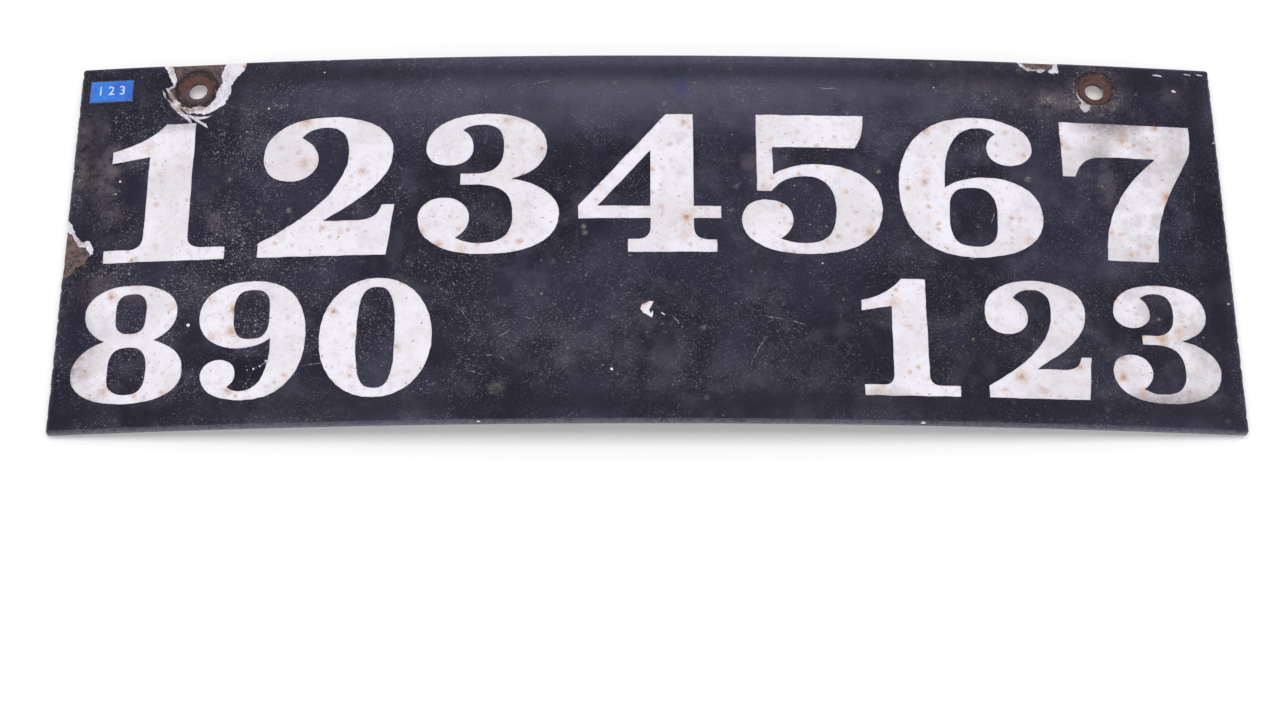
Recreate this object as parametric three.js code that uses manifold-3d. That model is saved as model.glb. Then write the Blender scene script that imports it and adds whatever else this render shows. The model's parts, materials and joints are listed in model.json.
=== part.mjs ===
// A bowed, vitreous-enamelled steel sign plate with two dished fixing holes, a legend of plain counting figures
// and a small strip of embossed label tape.
//
// Units are millimetres. +Z is up and the front of the plate faces -Y. The plane y = 0 is the wall behind it,
// which the rear corners of the plate's two ends touch, and the origin is the middle of the plate on that wall.
//
// The plate is a stack: a steel sheet, a dipped ground coat all round it, a white coat on the front, and over that
// a black coat which was brushed away through a stencil, so that the figures are windows onto the white coat.
// The black inside a closed figure, such as the middle of a 0, is a patch of its own.
// "Depth" below is measured from the front face of the black coat towards the wall.

import * as THREE from "three";
import { mergeVertices } from "three/addons/utils/BufferGeometryUtils.js";
import Module from "manifold-3d";

const wasm = await Module();
wasm.setup();

// ---------------------------------------------------------------- driving dimensions

const WIDTH = 432; // 17 in, between the plate's two ends
const HEIGHT = 152.4; // 6 in
const BOW = 11.2; // how far the middle of the front stands out from its two ends
const STRIPS = 24; // flat strips that make up the bow
const CORNER_RADIUS = 1.3;

const BLACK = 0.15; // thickness of each coat
const WHITE = 0.15;
const GROUND = 0.12;
const STEEL = 1.6; // of the sheet itself
const SEAM = 0.03; // clearance kept between neighbouring solids

const BORE_RADIUS = 3.6; // clears a quarter-inch screw
const FLOOR_RADIUS = 5.2; // flat ring that the screw head pulls against
const RIM_RADIUS = 7.2; // where the dish meets the face of the plate
const DISH_DEPTH = 1.4;
const TURN_STEPS = 36; // flats round each dish and bore
const HOLE_STRIP = 9.5; // each hole is in the middle of the tenth strip from the centre line
const HOLE_DROP = 11; // from the top edge down to the hole

const FIGURE_GAP = 4; // between neighbouring figures
const LEGEND = [
  { figures: "1234567", left: -207, right: 208, base: -8.5, height: 58.5 },
  { figures: "890", left: -209, right: -78, base: -65.5, height: 47 },
  { figures: "123", left: 73, right: 209, base: -65.5, height: 47 },
];
const CURVE_STEPS = 9; // straight pieces in each curve of a figure

const TAPE = { left: -212, right: -195.8, bottom: 61, top: 70, thickness: 0.25 };
const ADHESIVE = 0.05;

// ---------------------------------------------------------------- derived dimensions

const RADIUS = (WIDTH ** 2 / 4 + BOW ** 2) / (2 * BOW);
const HALF_ANGLE = Math.asin(WIDTH / 2 / RADIUS);
const STRIP_ANGLE = (2 * HALF_ANGLE) / STRIPS;
const HOLE_ANGLE = HOLE_STRIP * STRIP_ANGLE;
const HOLE_Z = HEIGHT / 2 - HOLE_DROP;

const whiteFront = BLACK + SEAM;
const groundFront = whiteFront + WHITE + SEAM;
const steelFront = groundFront + GROUND + SEAM;
const steelRear = steelFront + STEEL;
const groundRear = steelRear + SEAM + GROUND;
const CENTRE_Y = (RADIUS - groundRear) * Math.cos(HALF_ANGLE);

// ---------------------------------------------------------------- solids

const PAST = 1; // how far a cutter runs past what it cuts

function solidFrom(geometry, matrix = new THREE.Matrix4()) {
  const bare = new THREE.BufferGeometry();
  const plain = geometry.index ? geometry.toNonIndexed() : geometry;
  bare.setAttribute("position", plain.getAttribute("position"));
  bare.applyMatrix4(matrix);
  const merged = mergeVertices(bare, 1e-4);
  const triVerts = new Uint32Array(merged.index.array);
  const vertProperties = merged.attributes.position.array;
  const solid = new wasm.Manifold(new wasm.Mesh({ numProp: 3, vertProperties, triVerts }));
  if (solid.volume() > 0) return solid;
  triVerts.reverse(); // a profile drawn the other way round
  return new wasm.Manifold(new wasm.Mesh({ numProp: 3, vertProperties, triVerts }));
}

function geometryFrom(solid) {
  const { vertProperties, triVerts } = solid.getMesh();
  const geometry = new THREE.BufferGeometry();
  geometry.setAttribute("position", new THREE.BufferAttribute(vertProperties, 3));
  geometry.setIndex(new THREE.BufferAttribute(triVerts, 1));
  return geometry;
}

const angleAt = (x) => Math.asin(x / RADIUS);

function onPlate(angle, depth) {
  const reach = RADIUS - depth;
  return new THREE.Vector2(reach * Math.sin(angle), CENTRE_Y - reach * Math.cos(angle));
}

// The angles where the bow's flat strips meet, between two ends.
function stripAngles(from, to) {
  const inner = [];
  for (let k = -STRIPS / 2; k <= STRIPS / 2; k++) {
    const angle = k * STRIP_ANGLE;
    if (angle > from && angle < to) inner.push(angle);
  }
  return [from, ...inner, to];
}

// A piece of the bow between two depths, two angles and two heights.
function bowedSlab(front, rear, angles, bottom, top) {
  const near = angles.map((a) => onPlate(a, front));
  const far = angles.map((a) => onPlate(a, rear)).reverse();
  const slab = new THREE.ExtrudeGeometry(new THREE.Shape([...near, ...far]), {
    depth: top - bottom,
    bevelEnabled: false,
  });
  return solidFrom(slab.translate(0, 0, bottom));
}

// A bar through the plate whose section is a rectangle with rounded corners.
function roundedBar(halfWidth, halfHeight, radius) {
  const [x, z] = [halfWidth - radius, halfHeight - radius];
  const quarter = Math.PI / 2;
  const section = new THREE.Shape();
  [[x, z], [-x, z], [-x, -z], [x, -z]].forEach(([cx, cz], k) => {
    section.absarc(cx, cz, radius, k * quarter, (k + 1) * quarter);
  });
  const bar = new THREE.ExtrudeGeometry(section, { depth: 20, bevelEnabled: false, curveSegments: 6 });
  return solidFrom(bar.rotateX(Math.PI / 2).translate(0, 2, 0));
}

// The whole plate's outline, less an inset all round, between two depths.
function plateSlab(front, rear, inset) {
  const halfAngle = HALF_ANGLE - inset / RADIUS;
  const halfHeight = HEIGHT / 2 - inset;
  const square = bowedSlab(front, rear, stripAngles(-halfAngle, halfAngle), -halfHeight, halfHeight);
  return square.intersect(roundedBar(WIDTH / 2 - inset, halfHeight, CORNER_RADIUS - inset));
}

// A turned shape about each fixing hole's axis. Its profile is in radius and depth.
function atHoles(profile) {
  const turned = new THREE.LatheGeometry(
    profile.map(([r, depth]) => new THREE.Vector2(r, depth)),
    TURN_STEPS,
  );
  const reach = RADIUS * Math.cos(STRIP_ANGLE / 2);
  return [-HOLE_ANGLE, HOLE_ANGLE]
    .map((angle) => {
      const turn = new THREE.Matrix4().makeRotationZ(angle);
      const [x, y] = [reach * Math.sin(angle), CENTRE_Y - reach * Math.cos(angle)];
      return solidFrom(turned, turn.setPosition(x, y, HOLE_Z));
    })
    .reduce((a, b) => a.add(b));
}

// Presses the two dishes into a layer: adds metal behind its rear face and takes the same shape from its front.
function withDishes(layer, front, rear) {
  const slope = (RIM_RADIUS - FLOOR_RADIUS) / DISH_DEPTH;
  const middle = (front + rear) / 2;
  const added = atHoles([
    [0, middle],
    [RIM_RADIUS + (rear - middle) * slope, middle],
    [FLOOR_RADIUS, rear + DISH_DEPTH],
    [0, rear + DISH_DEPTH],
  ]);
  const taken = atHoles([
    [0, front - PAST],
    [RIM_RADIUS + PAST * slope, front - PAST],
    [FLOOR_RADIUS, front + DISH_DEPTH],
    [0, front + DISH_DEPTH],
  ]);
  return layer.add(added).subtract(taken);
}

const dishedPlate = (front, rear, inset) => withDishes(plateSlab(front, rear, inset), front, rear);

const bores = atHoles([
  [0, -PAST],
  [BORE_RADIUS, -PAST],
  [BORE_RADIUS, groundRear + DISH_DEPTH + PAST],
  [0, groundRear + DISH_DEPTH + PAST],
]);

// ---------------------------------------------------------------- figures

// Fat-face figures in a box 94 wide and 100 high. Each outline starts at a point, and then holds either the end
// of a straight line or the two handles and the end of a curve.
const FIGURE_BOX = { width: 94, height: 100 };
const OUTLINES = {
  1: [
    [62, 100], [62, 18], [62, 12, 66, 9, 72, 9], [86, 9], [86, 0], [10, 0], [10, 9], [24, 9],
    [30, 9, 34, 12, 34, 18], [34, 76], [10, 72], [10, 81], [24, 84, 36, 91, 43, 100],
  ],
  2: [
    [6, 0], [86, 0], [90, 36], [82, 36], [80, 28, 76, 25, 66, 25], [46, 25], [62, 37, 88, 50, 88, 74],
    [88, 92, 70, 101, 46, 101], [22, 101, 6, 90, 6, 72], [6, 60, 14, 54, 24, 54], [34, 54, 41, 61, 41, 69],
    [41, 78, 35, 82, 30, 86], [34, 92, 40, 93, 45, 93], [56, 93, 60, 86, 60, 74], [60, 50, 40, 30, 6, 10],
  ],
  3: [
    [8, 76], [8, 92, 24, 101, 46, 101], [70, 101, 84, 91, 84, 76], [84, 64, 74, 56, 62, 53],
    [80, 50, 92, 40, 92, 27], [92, 9, 74, -1, 46, -1], [20, -1, 4, 9, 4, 25], [4, 34, 11, 40, 20, 40],
    [30, 40, 36, 33, 36, 25], [36, 18, 32, 14, 28, 11], [33, 8, 38, 7, 43, 7], [56, 7, 63, 13, 63, 27],
    [63, 42, 56, 48, 42, 49], [30, 49], [30, 57], [42, 57], [52, 58, 57, 64, 57, 76],
    [57, 88, 53, 93, 44, 93], [39, 93, 35, 92, 31, 89], [35, 86, 38, 82, 38, 76], [38, 68, 31, 63, 23, 63],
    [14, 63, 8, 68, 8, 76],
  ],
  4: [
    [75, 100], [75, 33], [92, 33], [92, 24], [75, 24], [75, 18], [75, 12, 78, 9, 84, 9], [89, 9], [89, 0],
    [34, 0], [34, 9], [39, 9], [45, 9, 48, 12, 48, 18], [48, 24], [3, 24], [3, 33], [58, 100],
  ],
  5: [
    [14, 100], [82, 100], [82, 90, 80, 82, 76, 76], [24, 76], [24, 56], [32, 62, 42, 64, 52, 64],
    [76, 64, 92, 52, 92, 32], [92, 11, 74, -1, 45, -1], [20, -1, 4, 8, 4, 23], [4, 32, 11, 38, 20, 38],
    [29, 38, 36, 32, 36, 24], [36, 17, 32, 13, 28, 10], [33, 8, 38, 7, 43, 7], [57, 7, 63, 15, 63, 31],
    [63, 47, 57, 55, 44, 55], [34, 55, 27, 50, 23, 44], [14, 44],
  ],
  6: [
    [92, 29], [92, 46, 78, 57, 57, 57], [47, 57, 38, 54, 31, 49], [31, 80, 40, 93, 54, 93],
    [59, 93, 62, 92, 65, 89], [61, 86, 59, 83, 59, 78], [59, 71, 65, 66, 73, 66], [81, 66, 88, 71, 88, 79],
    [88, 93, 72, 101, 52, 101], [20, 101, 2, 80, 2, 48], [2, 17, 18, -1, 47, -1], [76, -1, 92, 11, 92, 29],
  ],
  7: [
    [6, 100], [90, 100], [90, 88], [90, 70, 62, 48, 62, 0], [30, 0], [30, 34, 44, 54, 66, 75], [34, 75],
    [22, 75, 17, 70, 14, 60], [6, 60],
  ],
  8: [
    [47, 101], [72, 101, 86, 91, 86, 76], [86, 65, 78, 57, 68, 53], [83, 48, 94, 39, 94, 26],
    [94, 9, 75, -1, 47, -1], [19, -1, 0, 9, 0, 26], [0, 39, 11, 48, 26, 53], [16, 57, 8, 65, 8, 76],
    [8, 91, 22, 101, 47, 101],
  ],
  0: [
    [47, 101], [74, 101, 94, 80, 94, 50], [94, 20, 74, -1, 47, -1], [20, -1, 0, 20, 0, 50],
    [0, 80, 20, 101, 47, 101],
  ],
};
// The closed middles of the figures, as [name, centre x, centre z, half width, half height], rounded at both ends.
const COUNTERS = {
  6: [["", 48, 28, 15, 21]],
  8: [["_upper", 47, 76, 13, 17], ["_lower", 47, 27, 16, 20]],
  0: [["", 47, 50, 16, 43]],
};
const FOUR_COUNTER = [[48, 33], [48, 73], [15, 33]];

function shapeFrom(outline) {
  const shape = new THREE.Shape();
  shape.moveTo(...outline[0]);
  for (const step of outline.slice(1)) {
    if (step.length === 2) shape.lineTo(...step);
    else shape.bezierCurveTo(...step);
  }
  return shape;
}

// A tall rounded opening: an oval whose sides are drawn out nearly straight.
function roundedCounter(x, z, halfWidth, halfHeight) {
  const squareness = 2 / 2.9;
  const turns = 4 * CURVE_STEPS;
  const points = [];
  for (let k = 0; k < turns; k++) {
    const [c, s] = [Math.cos((2 * Math.PI * k) / turns), Math.sin((2 * Math.PI * k) / turns)];
    points.push([
      x + halfWidth * Math.sign(c) * Math.abs(c) ** squareness,
      z + halfHeight * Math.sign(s) * Math.abs(s) ** squareness,
    ]);
  }
  return points;
}

// A 9 is a 6 turned half round.
const isNine = (figure) => figure === "9";
const drawnAs = (figure) => (isNine(figure) ? "6" : figure);

function counterShapes(figure) {
  if (figure === "4") return [["", shapeFrom(FOUR_COUNTER)]];
  const found = COUNTERS[drawnAs(figure)] ?? [];
  return found.map(([name, ...place]) => [name, shapeFrom(roundedCounter(...place))]);
}

// A prism through the front of the plate, standing where the figure's box is.
function prism(shape, box, turned) {
  const bar = new THREE.ExtrudeGeometry(shape, { depth: 20, bevelEnabled: false, curveSegments: CURVE_STEPS });
  bar.translate(-FIGURE_BOX.width / 2, -FIGURE_BOX.height / 2, 0);
  if (turned) bar.rotateZ(Math.PI);
  bar.scale(box.width / FIGURE_BOX.width, box.height / FIGURE_BOX.height, 1);
  bar.rotateX(Math.PI / 2);
  bar.translate(box.x, 0, box.z);
  return solidFrom(bar);
}

const figureBoxes = LEGEND.flatMap(({ figures, left, right, base, height }) => {
  const pitch = (right - left + FIGURE_GAP) / figures.length;
  return [...figures].map((figure, k) => ({
    figure,
    x: left + pitch * k + (pitch - FIGURE_GAP) / 2,
    z: base + height / 2,
    width: pitch - FIGURE_GAP,
    height,
  }));
});

// ---------------------------------------------------------------- the pieces

const part = new THREE.Group();
part.name = "sign_plate";

const finish = (color, roughness, metalness = 0) =>
  new THREE.MeshStandardMaterial({ color, roughness, metalness, flatShading: true });
const steelFinish = finish(0x5a4a42, 0.8, 0.6);
const groundFinish = finish(0x2c2d36, 0.35);
const whiteFinish = finish(0xeee9ee, 0.25);
const blackFinish = finish(0x2a2935, 0.3);
const tapeFinish = finish(0x2f6fd0, 0.4);
const glueFinish = finish(0x8a7a60, 0.7);

function addPiece(name, solid, material) {
  const mesh = new THREE.Mesh(geometryFrom(solid), material);
  mesh.name = name;
  part.add(mesh);
}

function steelSheet() {
  const inset = BLACK + SEAM + GROUND + SEAM;
  return dishedPlate(steelFront, steelRear, inset).subtract(bores);
}

// The ground coat goes all round the sheet, and stops at the bare walls of the holes.
function groundCoat() {
  const outside = dishedPlate(groundFront, groundRear, BLACK + SEAM);
  const sheetSpace = dishedPlate(steelFront - SEAM, steelRear + SEAM, BLACK + SEAM + GROUND);
  return outside.subtract(sheetSpace).subtract(bores);
}

function whiteCoat() {
  return dishedPlate(whiteFront, whiteFront + WHITE, BLACK + SEAM).subtract(bores);
}

// The black coat covers the front and laps round the four edges, like a shallow tray.
function blackTray() {
  const outside = plateSlab(0, groundRear, 0);
  const inside = plateSlab(BLACK, groundRear + PAST, BLACK);
  return withDishes(outside.subtract(inside), 0, BLACK).subtract(bores);
}

function addBlackCoat() {
  const tray = blackTray();
  let coat = tray;
  for (const box of figureBoxes) {
    const turned = isNine(box.figure);
    const window = prism(shapeFrom(OUTLINES[drawnAs(box.figure)]), box, turned);
    coat = coat.subtract(window);
    for (const [place, shape] of counterShapes(box.figure))
      addPiece(`black_counter_${box.figure}${place}`, tray.intersect(prism(shape, box, turned)), blackFinish);
  }
  addPiece("black_coat", coat, blackFinish);
}

function addLabel() {
  const angles = stripAngles(angleAt(TAPE.left), angleAt(TAPE.right));
  const glueRear = -SEAM;
  const tapeRear = glueRear - ADHESIVE - SEAM;
  const glue = bowedSlab(glueRear - ADHESIVE, glueRear, angles, TAPE.bottom, TAPE.top);
  const tape = bowedSlab(tapeRear - TAPE.thickness, tapeRear, angles, TAPE.bottom, TAPE.top);
  addPiece("tape_adhesive", glue, glueFinish);
  addPiece("label_tape", tape, tapeFinish);
}

addPiece("steel_sheet", steelSheet(), steelFinish);
addPiece("ground_coat", groundCoat(), groundFinish);
addPiece("white_coat", whiteCoat(), whiteFinish);
addBlackCoat();
addLabel();

export default part;
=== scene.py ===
"""The looks of a bowed, enamelled steel sign plate: worn coats, chips, rust, label tape and a plain studio.

Everything is in metres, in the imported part's frame: +Z up, +X to the reader's right, -Y out of the front.
A place on the plate is (x, z) on its front face, with a depth from that face towards the wall. The tables
of chips, stains and scratches give their places in millimetres.
"""

import json
import math
from collections import defaultdict

import bmesh
import bpy
from bpy.props import FloatProperty, FloatVectorProperty, IntProperty, PointerProperty, StringProperty
from mathutils import Matrix, Vector, noise
from mathutils.geometry import intersect_point_line


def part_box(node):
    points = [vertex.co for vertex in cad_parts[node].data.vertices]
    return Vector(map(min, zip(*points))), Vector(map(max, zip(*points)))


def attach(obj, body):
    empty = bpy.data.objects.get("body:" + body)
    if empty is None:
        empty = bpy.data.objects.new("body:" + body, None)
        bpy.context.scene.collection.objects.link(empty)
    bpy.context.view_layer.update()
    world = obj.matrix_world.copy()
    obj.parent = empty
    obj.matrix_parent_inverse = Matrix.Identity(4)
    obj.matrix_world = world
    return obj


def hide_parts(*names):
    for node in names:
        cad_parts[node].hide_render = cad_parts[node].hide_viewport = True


bl_info = {
    "name": "Enamelled Sign Plate",
    "version": (1, 0, 0),
    "blender": (4, 5, 0),
    "location": "3D View > Sidebar > Sign",
    "description": "Builds a worn enamelled sign plate round its CAD frame",
    "category": "Add Mesh",
}

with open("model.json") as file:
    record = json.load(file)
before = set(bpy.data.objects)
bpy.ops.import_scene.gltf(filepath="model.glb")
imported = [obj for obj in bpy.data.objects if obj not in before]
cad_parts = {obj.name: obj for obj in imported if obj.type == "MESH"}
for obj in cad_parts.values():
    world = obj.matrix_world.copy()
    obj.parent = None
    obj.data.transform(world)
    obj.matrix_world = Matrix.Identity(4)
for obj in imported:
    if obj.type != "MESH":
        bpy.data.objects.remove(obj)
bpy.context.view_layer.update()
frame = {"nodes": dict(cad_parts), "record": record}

# ---------------------------------------------------------------- the plate's own geometry

MM = 0.001
PLATE_LOW, PLATE_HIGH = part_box("black_coat")
HALF_WIDTH, HALF_HEIGHT = PLATE_HIGH.x, PLATE_HIGH.z

BOW = 11.2 * MM  # how far the middle stands out from the two ends
RADIUS = (HALF_WIDTH**2 + BOW**2) / (2 * BOW)
CENTRE_Y = RADIUS + PLATE_LOW.y
CORNER = 1.3 * MM
THICKNESS = 2.26 * MM
STRIPS = 24  # the flat strips that make the bow
STRIP_ANGLE = 2 * math.asin(HALF_WIDTH / RADIUS) / STRIPS

# Depths from the front of the black coat.
STEEL_FRONT = 0.51 * MM
MID_STEEL = 2.0 * MM  # behind the front coats in a dish, and in front of the coat on the back

# A cutter starts well in front of the plate, and stops past the dish, the back or the front coats.
IN_FRONT = -3 * MM
PAST_DISH = 6 * MM
BEHIND = 7 * MM
PAST_FRONT_COATS = 1 * MM
CHIP_JAGS = 0.55 * MM  # how far a chip's broken edge wanders

JOINED = 2e-6  # points nearer together than this are one
FLAT = math.radians(0.15)  # faces that meet at less than this are one
CRACK = 0.03 * MM  # the widest crack that is closed

BORE = 3.6 * MM
DISH_FLOOR, DISH_RIM = 4.8 * MM, 7.8 * MM
DISH_DEPTH = 1.4 * MM
SEAT_DROP = 4.4 * MM  # from the middle of a hole down to the point named as its screw's seat


def unroll(point):
    """The place (x, z) on the front face and the depth behind it of a point of the plate."""
    reach = math.hypot(point.x, CENTRE_Y - point.y)
    return RADIUS * point.x / reach, point.z, RADIUS - reach


def roll(x, z, depth):
    """The point at a place on the front face and a depth behind it."""
    reach = RADIUS - depth
    return Vector((reach * x / RADIUS, CENTRE_Y - reach * math.sqrt(1 - (x / RADIUS) ** 2), z))


def fixing_hole(side):
    """The place of a fixing hole, worked out from the seat of its screw."""
    seat = next(m for m in frame["record"]["mounts"] if m["name"] == "screw_seat_" + side)
    x, z, _ = unroll(Vector(seat["pos_m"]))
    return x, z + SEAT_DROP


HOLES = {side: fixing_hole(side) for side in ("left", "right")}


def inset_of(x, z):
    """How far a place is inside the plate's round-cornered outline."""
    over_x, over_z = abs(x) - (HALF_WIDTH - CORNER), abs(z) - (HALF_HEIGHT - CORNER)
    outside = math.hypot(max(over_x, 0), max(over_z, 0))
    return CORNER - outside - min(max(over_x, over_z), 0)


def dish(x, z):
    """How far the pressed dishes take the sheet back, with the soft shoulder of pressed metal."""
    r = min(math.hypot(x - hx, z - hz) for hx, hz in HOLES.values())
    t = min(max((DISH_RIM - r) / (DISH_RIM - DISH_FLOOR), 0), 1)
    return DISH_DEPTH * t * t * (3 - 2 * t)


def ripple(x, z, wavelength, seed=0.0):
    """Smooth noise between about -1 and 1 over the face of the plate."""
    return noise.noise(Vector((x / wavelength, seed, z / wavelength)))


# ---------------------------------------------------------------- where the enamel is lost

# Each chip has the outline of the black coat's loss and, inside it, that of the white and ground coats'.
# Where the two outlines run together no white shows.
CHIPS = {
    "left_hole": {
        "black": [
            (-185, 80), (-184.4, 76), (-182.6, 72.6), (-181.4, 69.4), (-180.4, 67), (-183.2, 66),
            (-181.6, 62.4), (-180, 59.8), (-178.6, 57.2), (-176.2, 56.2), (-174, 54.2), (-170.4, 54.4),
            (-167, 53.4), (-163, 55.6), (-159.6, 58), (-158.2, 62), (-157.8, 66), (-156, 69.6),
            (-154, 72), (-152.8, 74.6), (-152.2, 80),
        ],
        "bare": [
            (-181.2, 80), (-181, 76.4), (-180, 73.2), (-178.8, 69.8), (-179.4, 66.2), (-181.4, 65),
            (-179.4, 62.6), (-178, 60.2), (-176.4, 58), (-172.8, 57), (-169.8, 57.8), (-166.8, 57.2),
            (-164, 60.2), (-163.6, 63.4), (-161.8, 67.6), (-162.4, 71.2), (-161, 75), (-161.4, 80),
        ],
    },
    "right_hole": {
        "black": [
            (163.2, 65.6), (163.9, 69.2), (166.4, 72.2), (170.6, 73.4), (174.8, 72.6), (178, 69.8),
            (179, 65.6), (178.2, 61.6), (175.2, 58.6), (171.4, 57.8), (168.6, 58.4), (168, 55.8),
            (166, 54.8), (164.2, 56.4), (165.2, 59.2), (163.9, 61.4),
        ],
        "bare": [
            (163.3, 65.6), (164, 69.2), (166.5, 72.1), (170.6, 73.3), (174.7, 72.5), (177.9, 69.8),
            (178.9, 65.6), (178.1, 61.7), (175.1, 58.7), (171.2, 57.9), (168.2, 58.5), (165.8, 60.2),
            (164.3, 62.4),
        ],
    },
    "top_edge": {
        "black": [
            (140.6, 80), (141, 76), (143, 73.6), (145.6, 72), (148.6, 72.2), (150.6, 71.4), (152.6, 73),
            (154.8, 71.2), (157.2, 71.8), (156.8, 76), (156.8, 80),
        ],
        "bare": [
            (142.6, 80), (143, 76), (145, 74.2), (148, 73.2), (150.6, 73.6), (153.4, 72.8), (155, 74),
            (155.4, 80),
        ],
    },
    "left_edge": {
        "black": [
            (-220, 10.8), (-215.6, 10.4), (-213.6, 7.4), (-211.6, 3), (-209.4, 0.8), (-206.8, 1.4),
            (-205.2, -1), (-204.6, -4), (-206.6, -5.4), (-208.2, -8.4), (-210.8, -9.6), (-212.6, -12.6),
            (-215.2, -14), (-220, -14.4),
        ],
        "bare": [
            (-220, 6), (-215.6, 5.6), (-213, 2.6), (-210.8, -1.2), (-208.2, -1.4), (-207.2, -3),
            (-206.4, -4.4), (-207, -5.5), (-208.5, -8.3), (-211, -9.5), (-212.8, -12.4), (-215.2, -13.8),
            (-220, -14.2),
        ],
    },
}
# Losses of the black alone: splinters below the left hole, a cracked flake, and nicks along the edges.
BLACK_LOSSES = [
    [(-182.4, 61.4), (-180.6, 58), (-177.6, 54.6), (-174, 51.6), (-171.4, 48.8), (-172.4, 51.6),
     (-175.4, 54.8), (-178.8, 58.6)],
    [(-176, 54.4), (-172.6, 52.4), (-169.6, 50.2), (-165.6, 47.4), (-166.4, 49.4), (-169.8, 51.6),
     (-172.4, 53.6)],
    [(-172, 53.4), (-169.4, 51.4), (-166.8, 51.8), (-163.2, 53.8), (-166, 52.8), (-169.4, 52.8)],
    [(-184.4, 65.6), (-183.6, 62.6), (-182.6, 60.8), (-183, 63.6)],
    [(-2.8, -31.6), (-2, -29.8), (0.5, -28.7), (2.1, -28.7), (1.5, -30), (0.5, -32.2), (0.9, -33.6),
     (1.9, -32.4), (1.6, -35.5), (-0.1, -34.4), (-1.9, -33.3)],
    [(4.6, -33.4), (5.8, -34.4), (6.2, -34.1), (5.2, -33.2)],
    [(193.6, 73), (195.4, 73.2), (197.6, 72.7), (197.4, 72.1), (194.4, 72.4)],
    [(200.6, 66.3), (201.6, 66.6), (202.6, 66), (202.2, 65.2), (201, 65.4)],
    [(206.2, 74.2), (209, 74), (208.8, 73.4), (206.6, 73.6)],
    [(210.8, 74.4), (213.6, 74), (213.4, 73.4), (211.6, 73.6)],
    [(-216.4, -29.4), (-215.1, -31.2), (-216.4, -32.6)],
    [(-216.4, 33.4), (-215.2, 31.6), (-216.4, 30)],
    [(-216.4, 52.4), (-215.4, 51), (-216.4, 50.2)],
    [(216.4, 12.6), (215.3, 11), (216.4, 9.6)],
    [(-124, 76.6), (-121.4, 75.5), (-119, 76.6)],
    [(-62, -76.6), (-60.4, -75.6), (-58.2, -76.6)],
    [(96, -76.6), (98, -75.5), (99.4, -76.6)],
]
# Small round losses of the black, as (x, z, radius).
SPECKS = [
    (-167, -35.2, 0.7), (-142.9, 55.2, 0.45), (-122.5, 70.4, 0.4), (108.8, 63.4, 0.35), (215, 44, 0.5),
    (162.8, 67.4, 0.26), (162.5, 63.6, 0.3), (164.6, 72.2, 0.26), (163.6, 59.4, 0.36), (180, 61, 0.22),
    (163, 65.8, 0.22), (-197.4, 26, 0.5), (-198.6, 20.8, 0.4), (-13.1, -55.9, 0.6), (-142, -53.6, 0.45),
    (-139.8, -52.6, 0.4), (-137.6, -50.6, 0.5), (-135.8, -51.6, 0.35), (-144.2, -54, 0.3),
    (213.6, -24.4, 0.6), (-88.4, -57.6, 0.3), (148.6, -63, 0.35), (64, -12.6, 0.35),
]
# Losses of the coat on the back, which no other coat covers, as (x, z, radius).
BACK_LOSSES = [
    (-171, 65, 9.6), (171, 65, 10.8), (-215, -75, 5.2), (214, 76, 4.6), (-150, 77, 4.2), (40, -77, 3.4),
    (-217, -4, 4.6), (217, 22, 3), (120, 77, 2.6), (-60, 12, 2.2), (88, -24, 1.4), (-104, -77, 2.4),
]


def wander(x, z, reach, seed):
    """A place shifted by fine, jagged noise."""
    across = ripple(x, z, 1.5 * MM, seed) + 0.6 * ripple(x, z, 0.5 * MM, seed + 3)
    up = ripple(x, z, 1.5 * MM, seed + 7) + 0.6 * ripple(x, z, 0.5 * MM, seed + 11)
    return x + reach * across, z + reach * up


def signed_distance(x, z, outline):
    """Distance from a closed outline in millimetres, negative inside it."""
    place = Vector((x / MM, z / MM))
    nearest, inside = 1e9, False
    for (ax, az), (bx, bz) in zip(outline, outline[1:] + outline[:1]):
        _, t = intersect_point_line(place, (ax, az), (bx, bz))
        end = Vector((ax, az)).lerp((bx, bz), min(max(t, 0), 1))
        nearest = min(nearest, (end - place).length)
        if (az > place.y) != (bz > place.y) and place.x < ax + (place.y - az) / (bz - az) * (bx - ax):
            inside = not inside
    return -nearest if inside else nearest


def grown(outline, by):
    """The outline moved outwards by some millimetres. Outlines run either way round."""
    area = sum(ax * bz - bx * az for (ax, az), (bx, bz) in zip(outline, outline[1:] + outline[:1]))
    turn = 1 if area > 0 else -1
    moved = []
    for before, here, after in zip(outline[-1:] + outline[:-1], outline, outline[1:] + outline[:1]):
        along = Vector(after) - Vector(before)
        out = Vector((along.y, -along.x)).normalized() * turn * by
        moved.append((here[0] + out.x, here[1] + out.y))
    return moved


# ---------------------------------------------------------------- mesh helpers


def read_mesh(node):
    """A copy of a CAD node with its loose triangles joined and its flat areas cleared of needless edges."""
    bm = bmesh.new()
    bm.from_mesh(frame["nodes"][node].data)
    bmesh.ops.remove_doubles(bm, verts=bm.verts, dist=JOINED)
    bmesh.ops.dissolve_limit(bm, angle_limit=FLAT, verts=bm.verts, edges=bm.edges)
    return bm


def make_object(name, bm, replaced=()):
    """Turns a bmesh into a finished piece that rides on the part."""
    if not bm.faces:
        raise RuntimeError(name + " has no faces")
    mesh = bpy.data.meshes.new(name)
    bm.to_mesh(mesh)
    bm.free()
    mesh.shade_smooth()
    mesh.set_sharp_from_angle(angle=math.radians(32))
    piece = bpy.data.objects.new(name, mesh)
    bpy.context.scene.collection.objects.link(piece)
    even = piece.modifiers.new("even_shading", "WEIGHTED_NORMAL")
    even.mode, even.keep_sharp = "FACE_AREA", True
    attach(piece, "root")
    if replaced:
        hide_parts(*replaced)
    return piece


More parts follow.
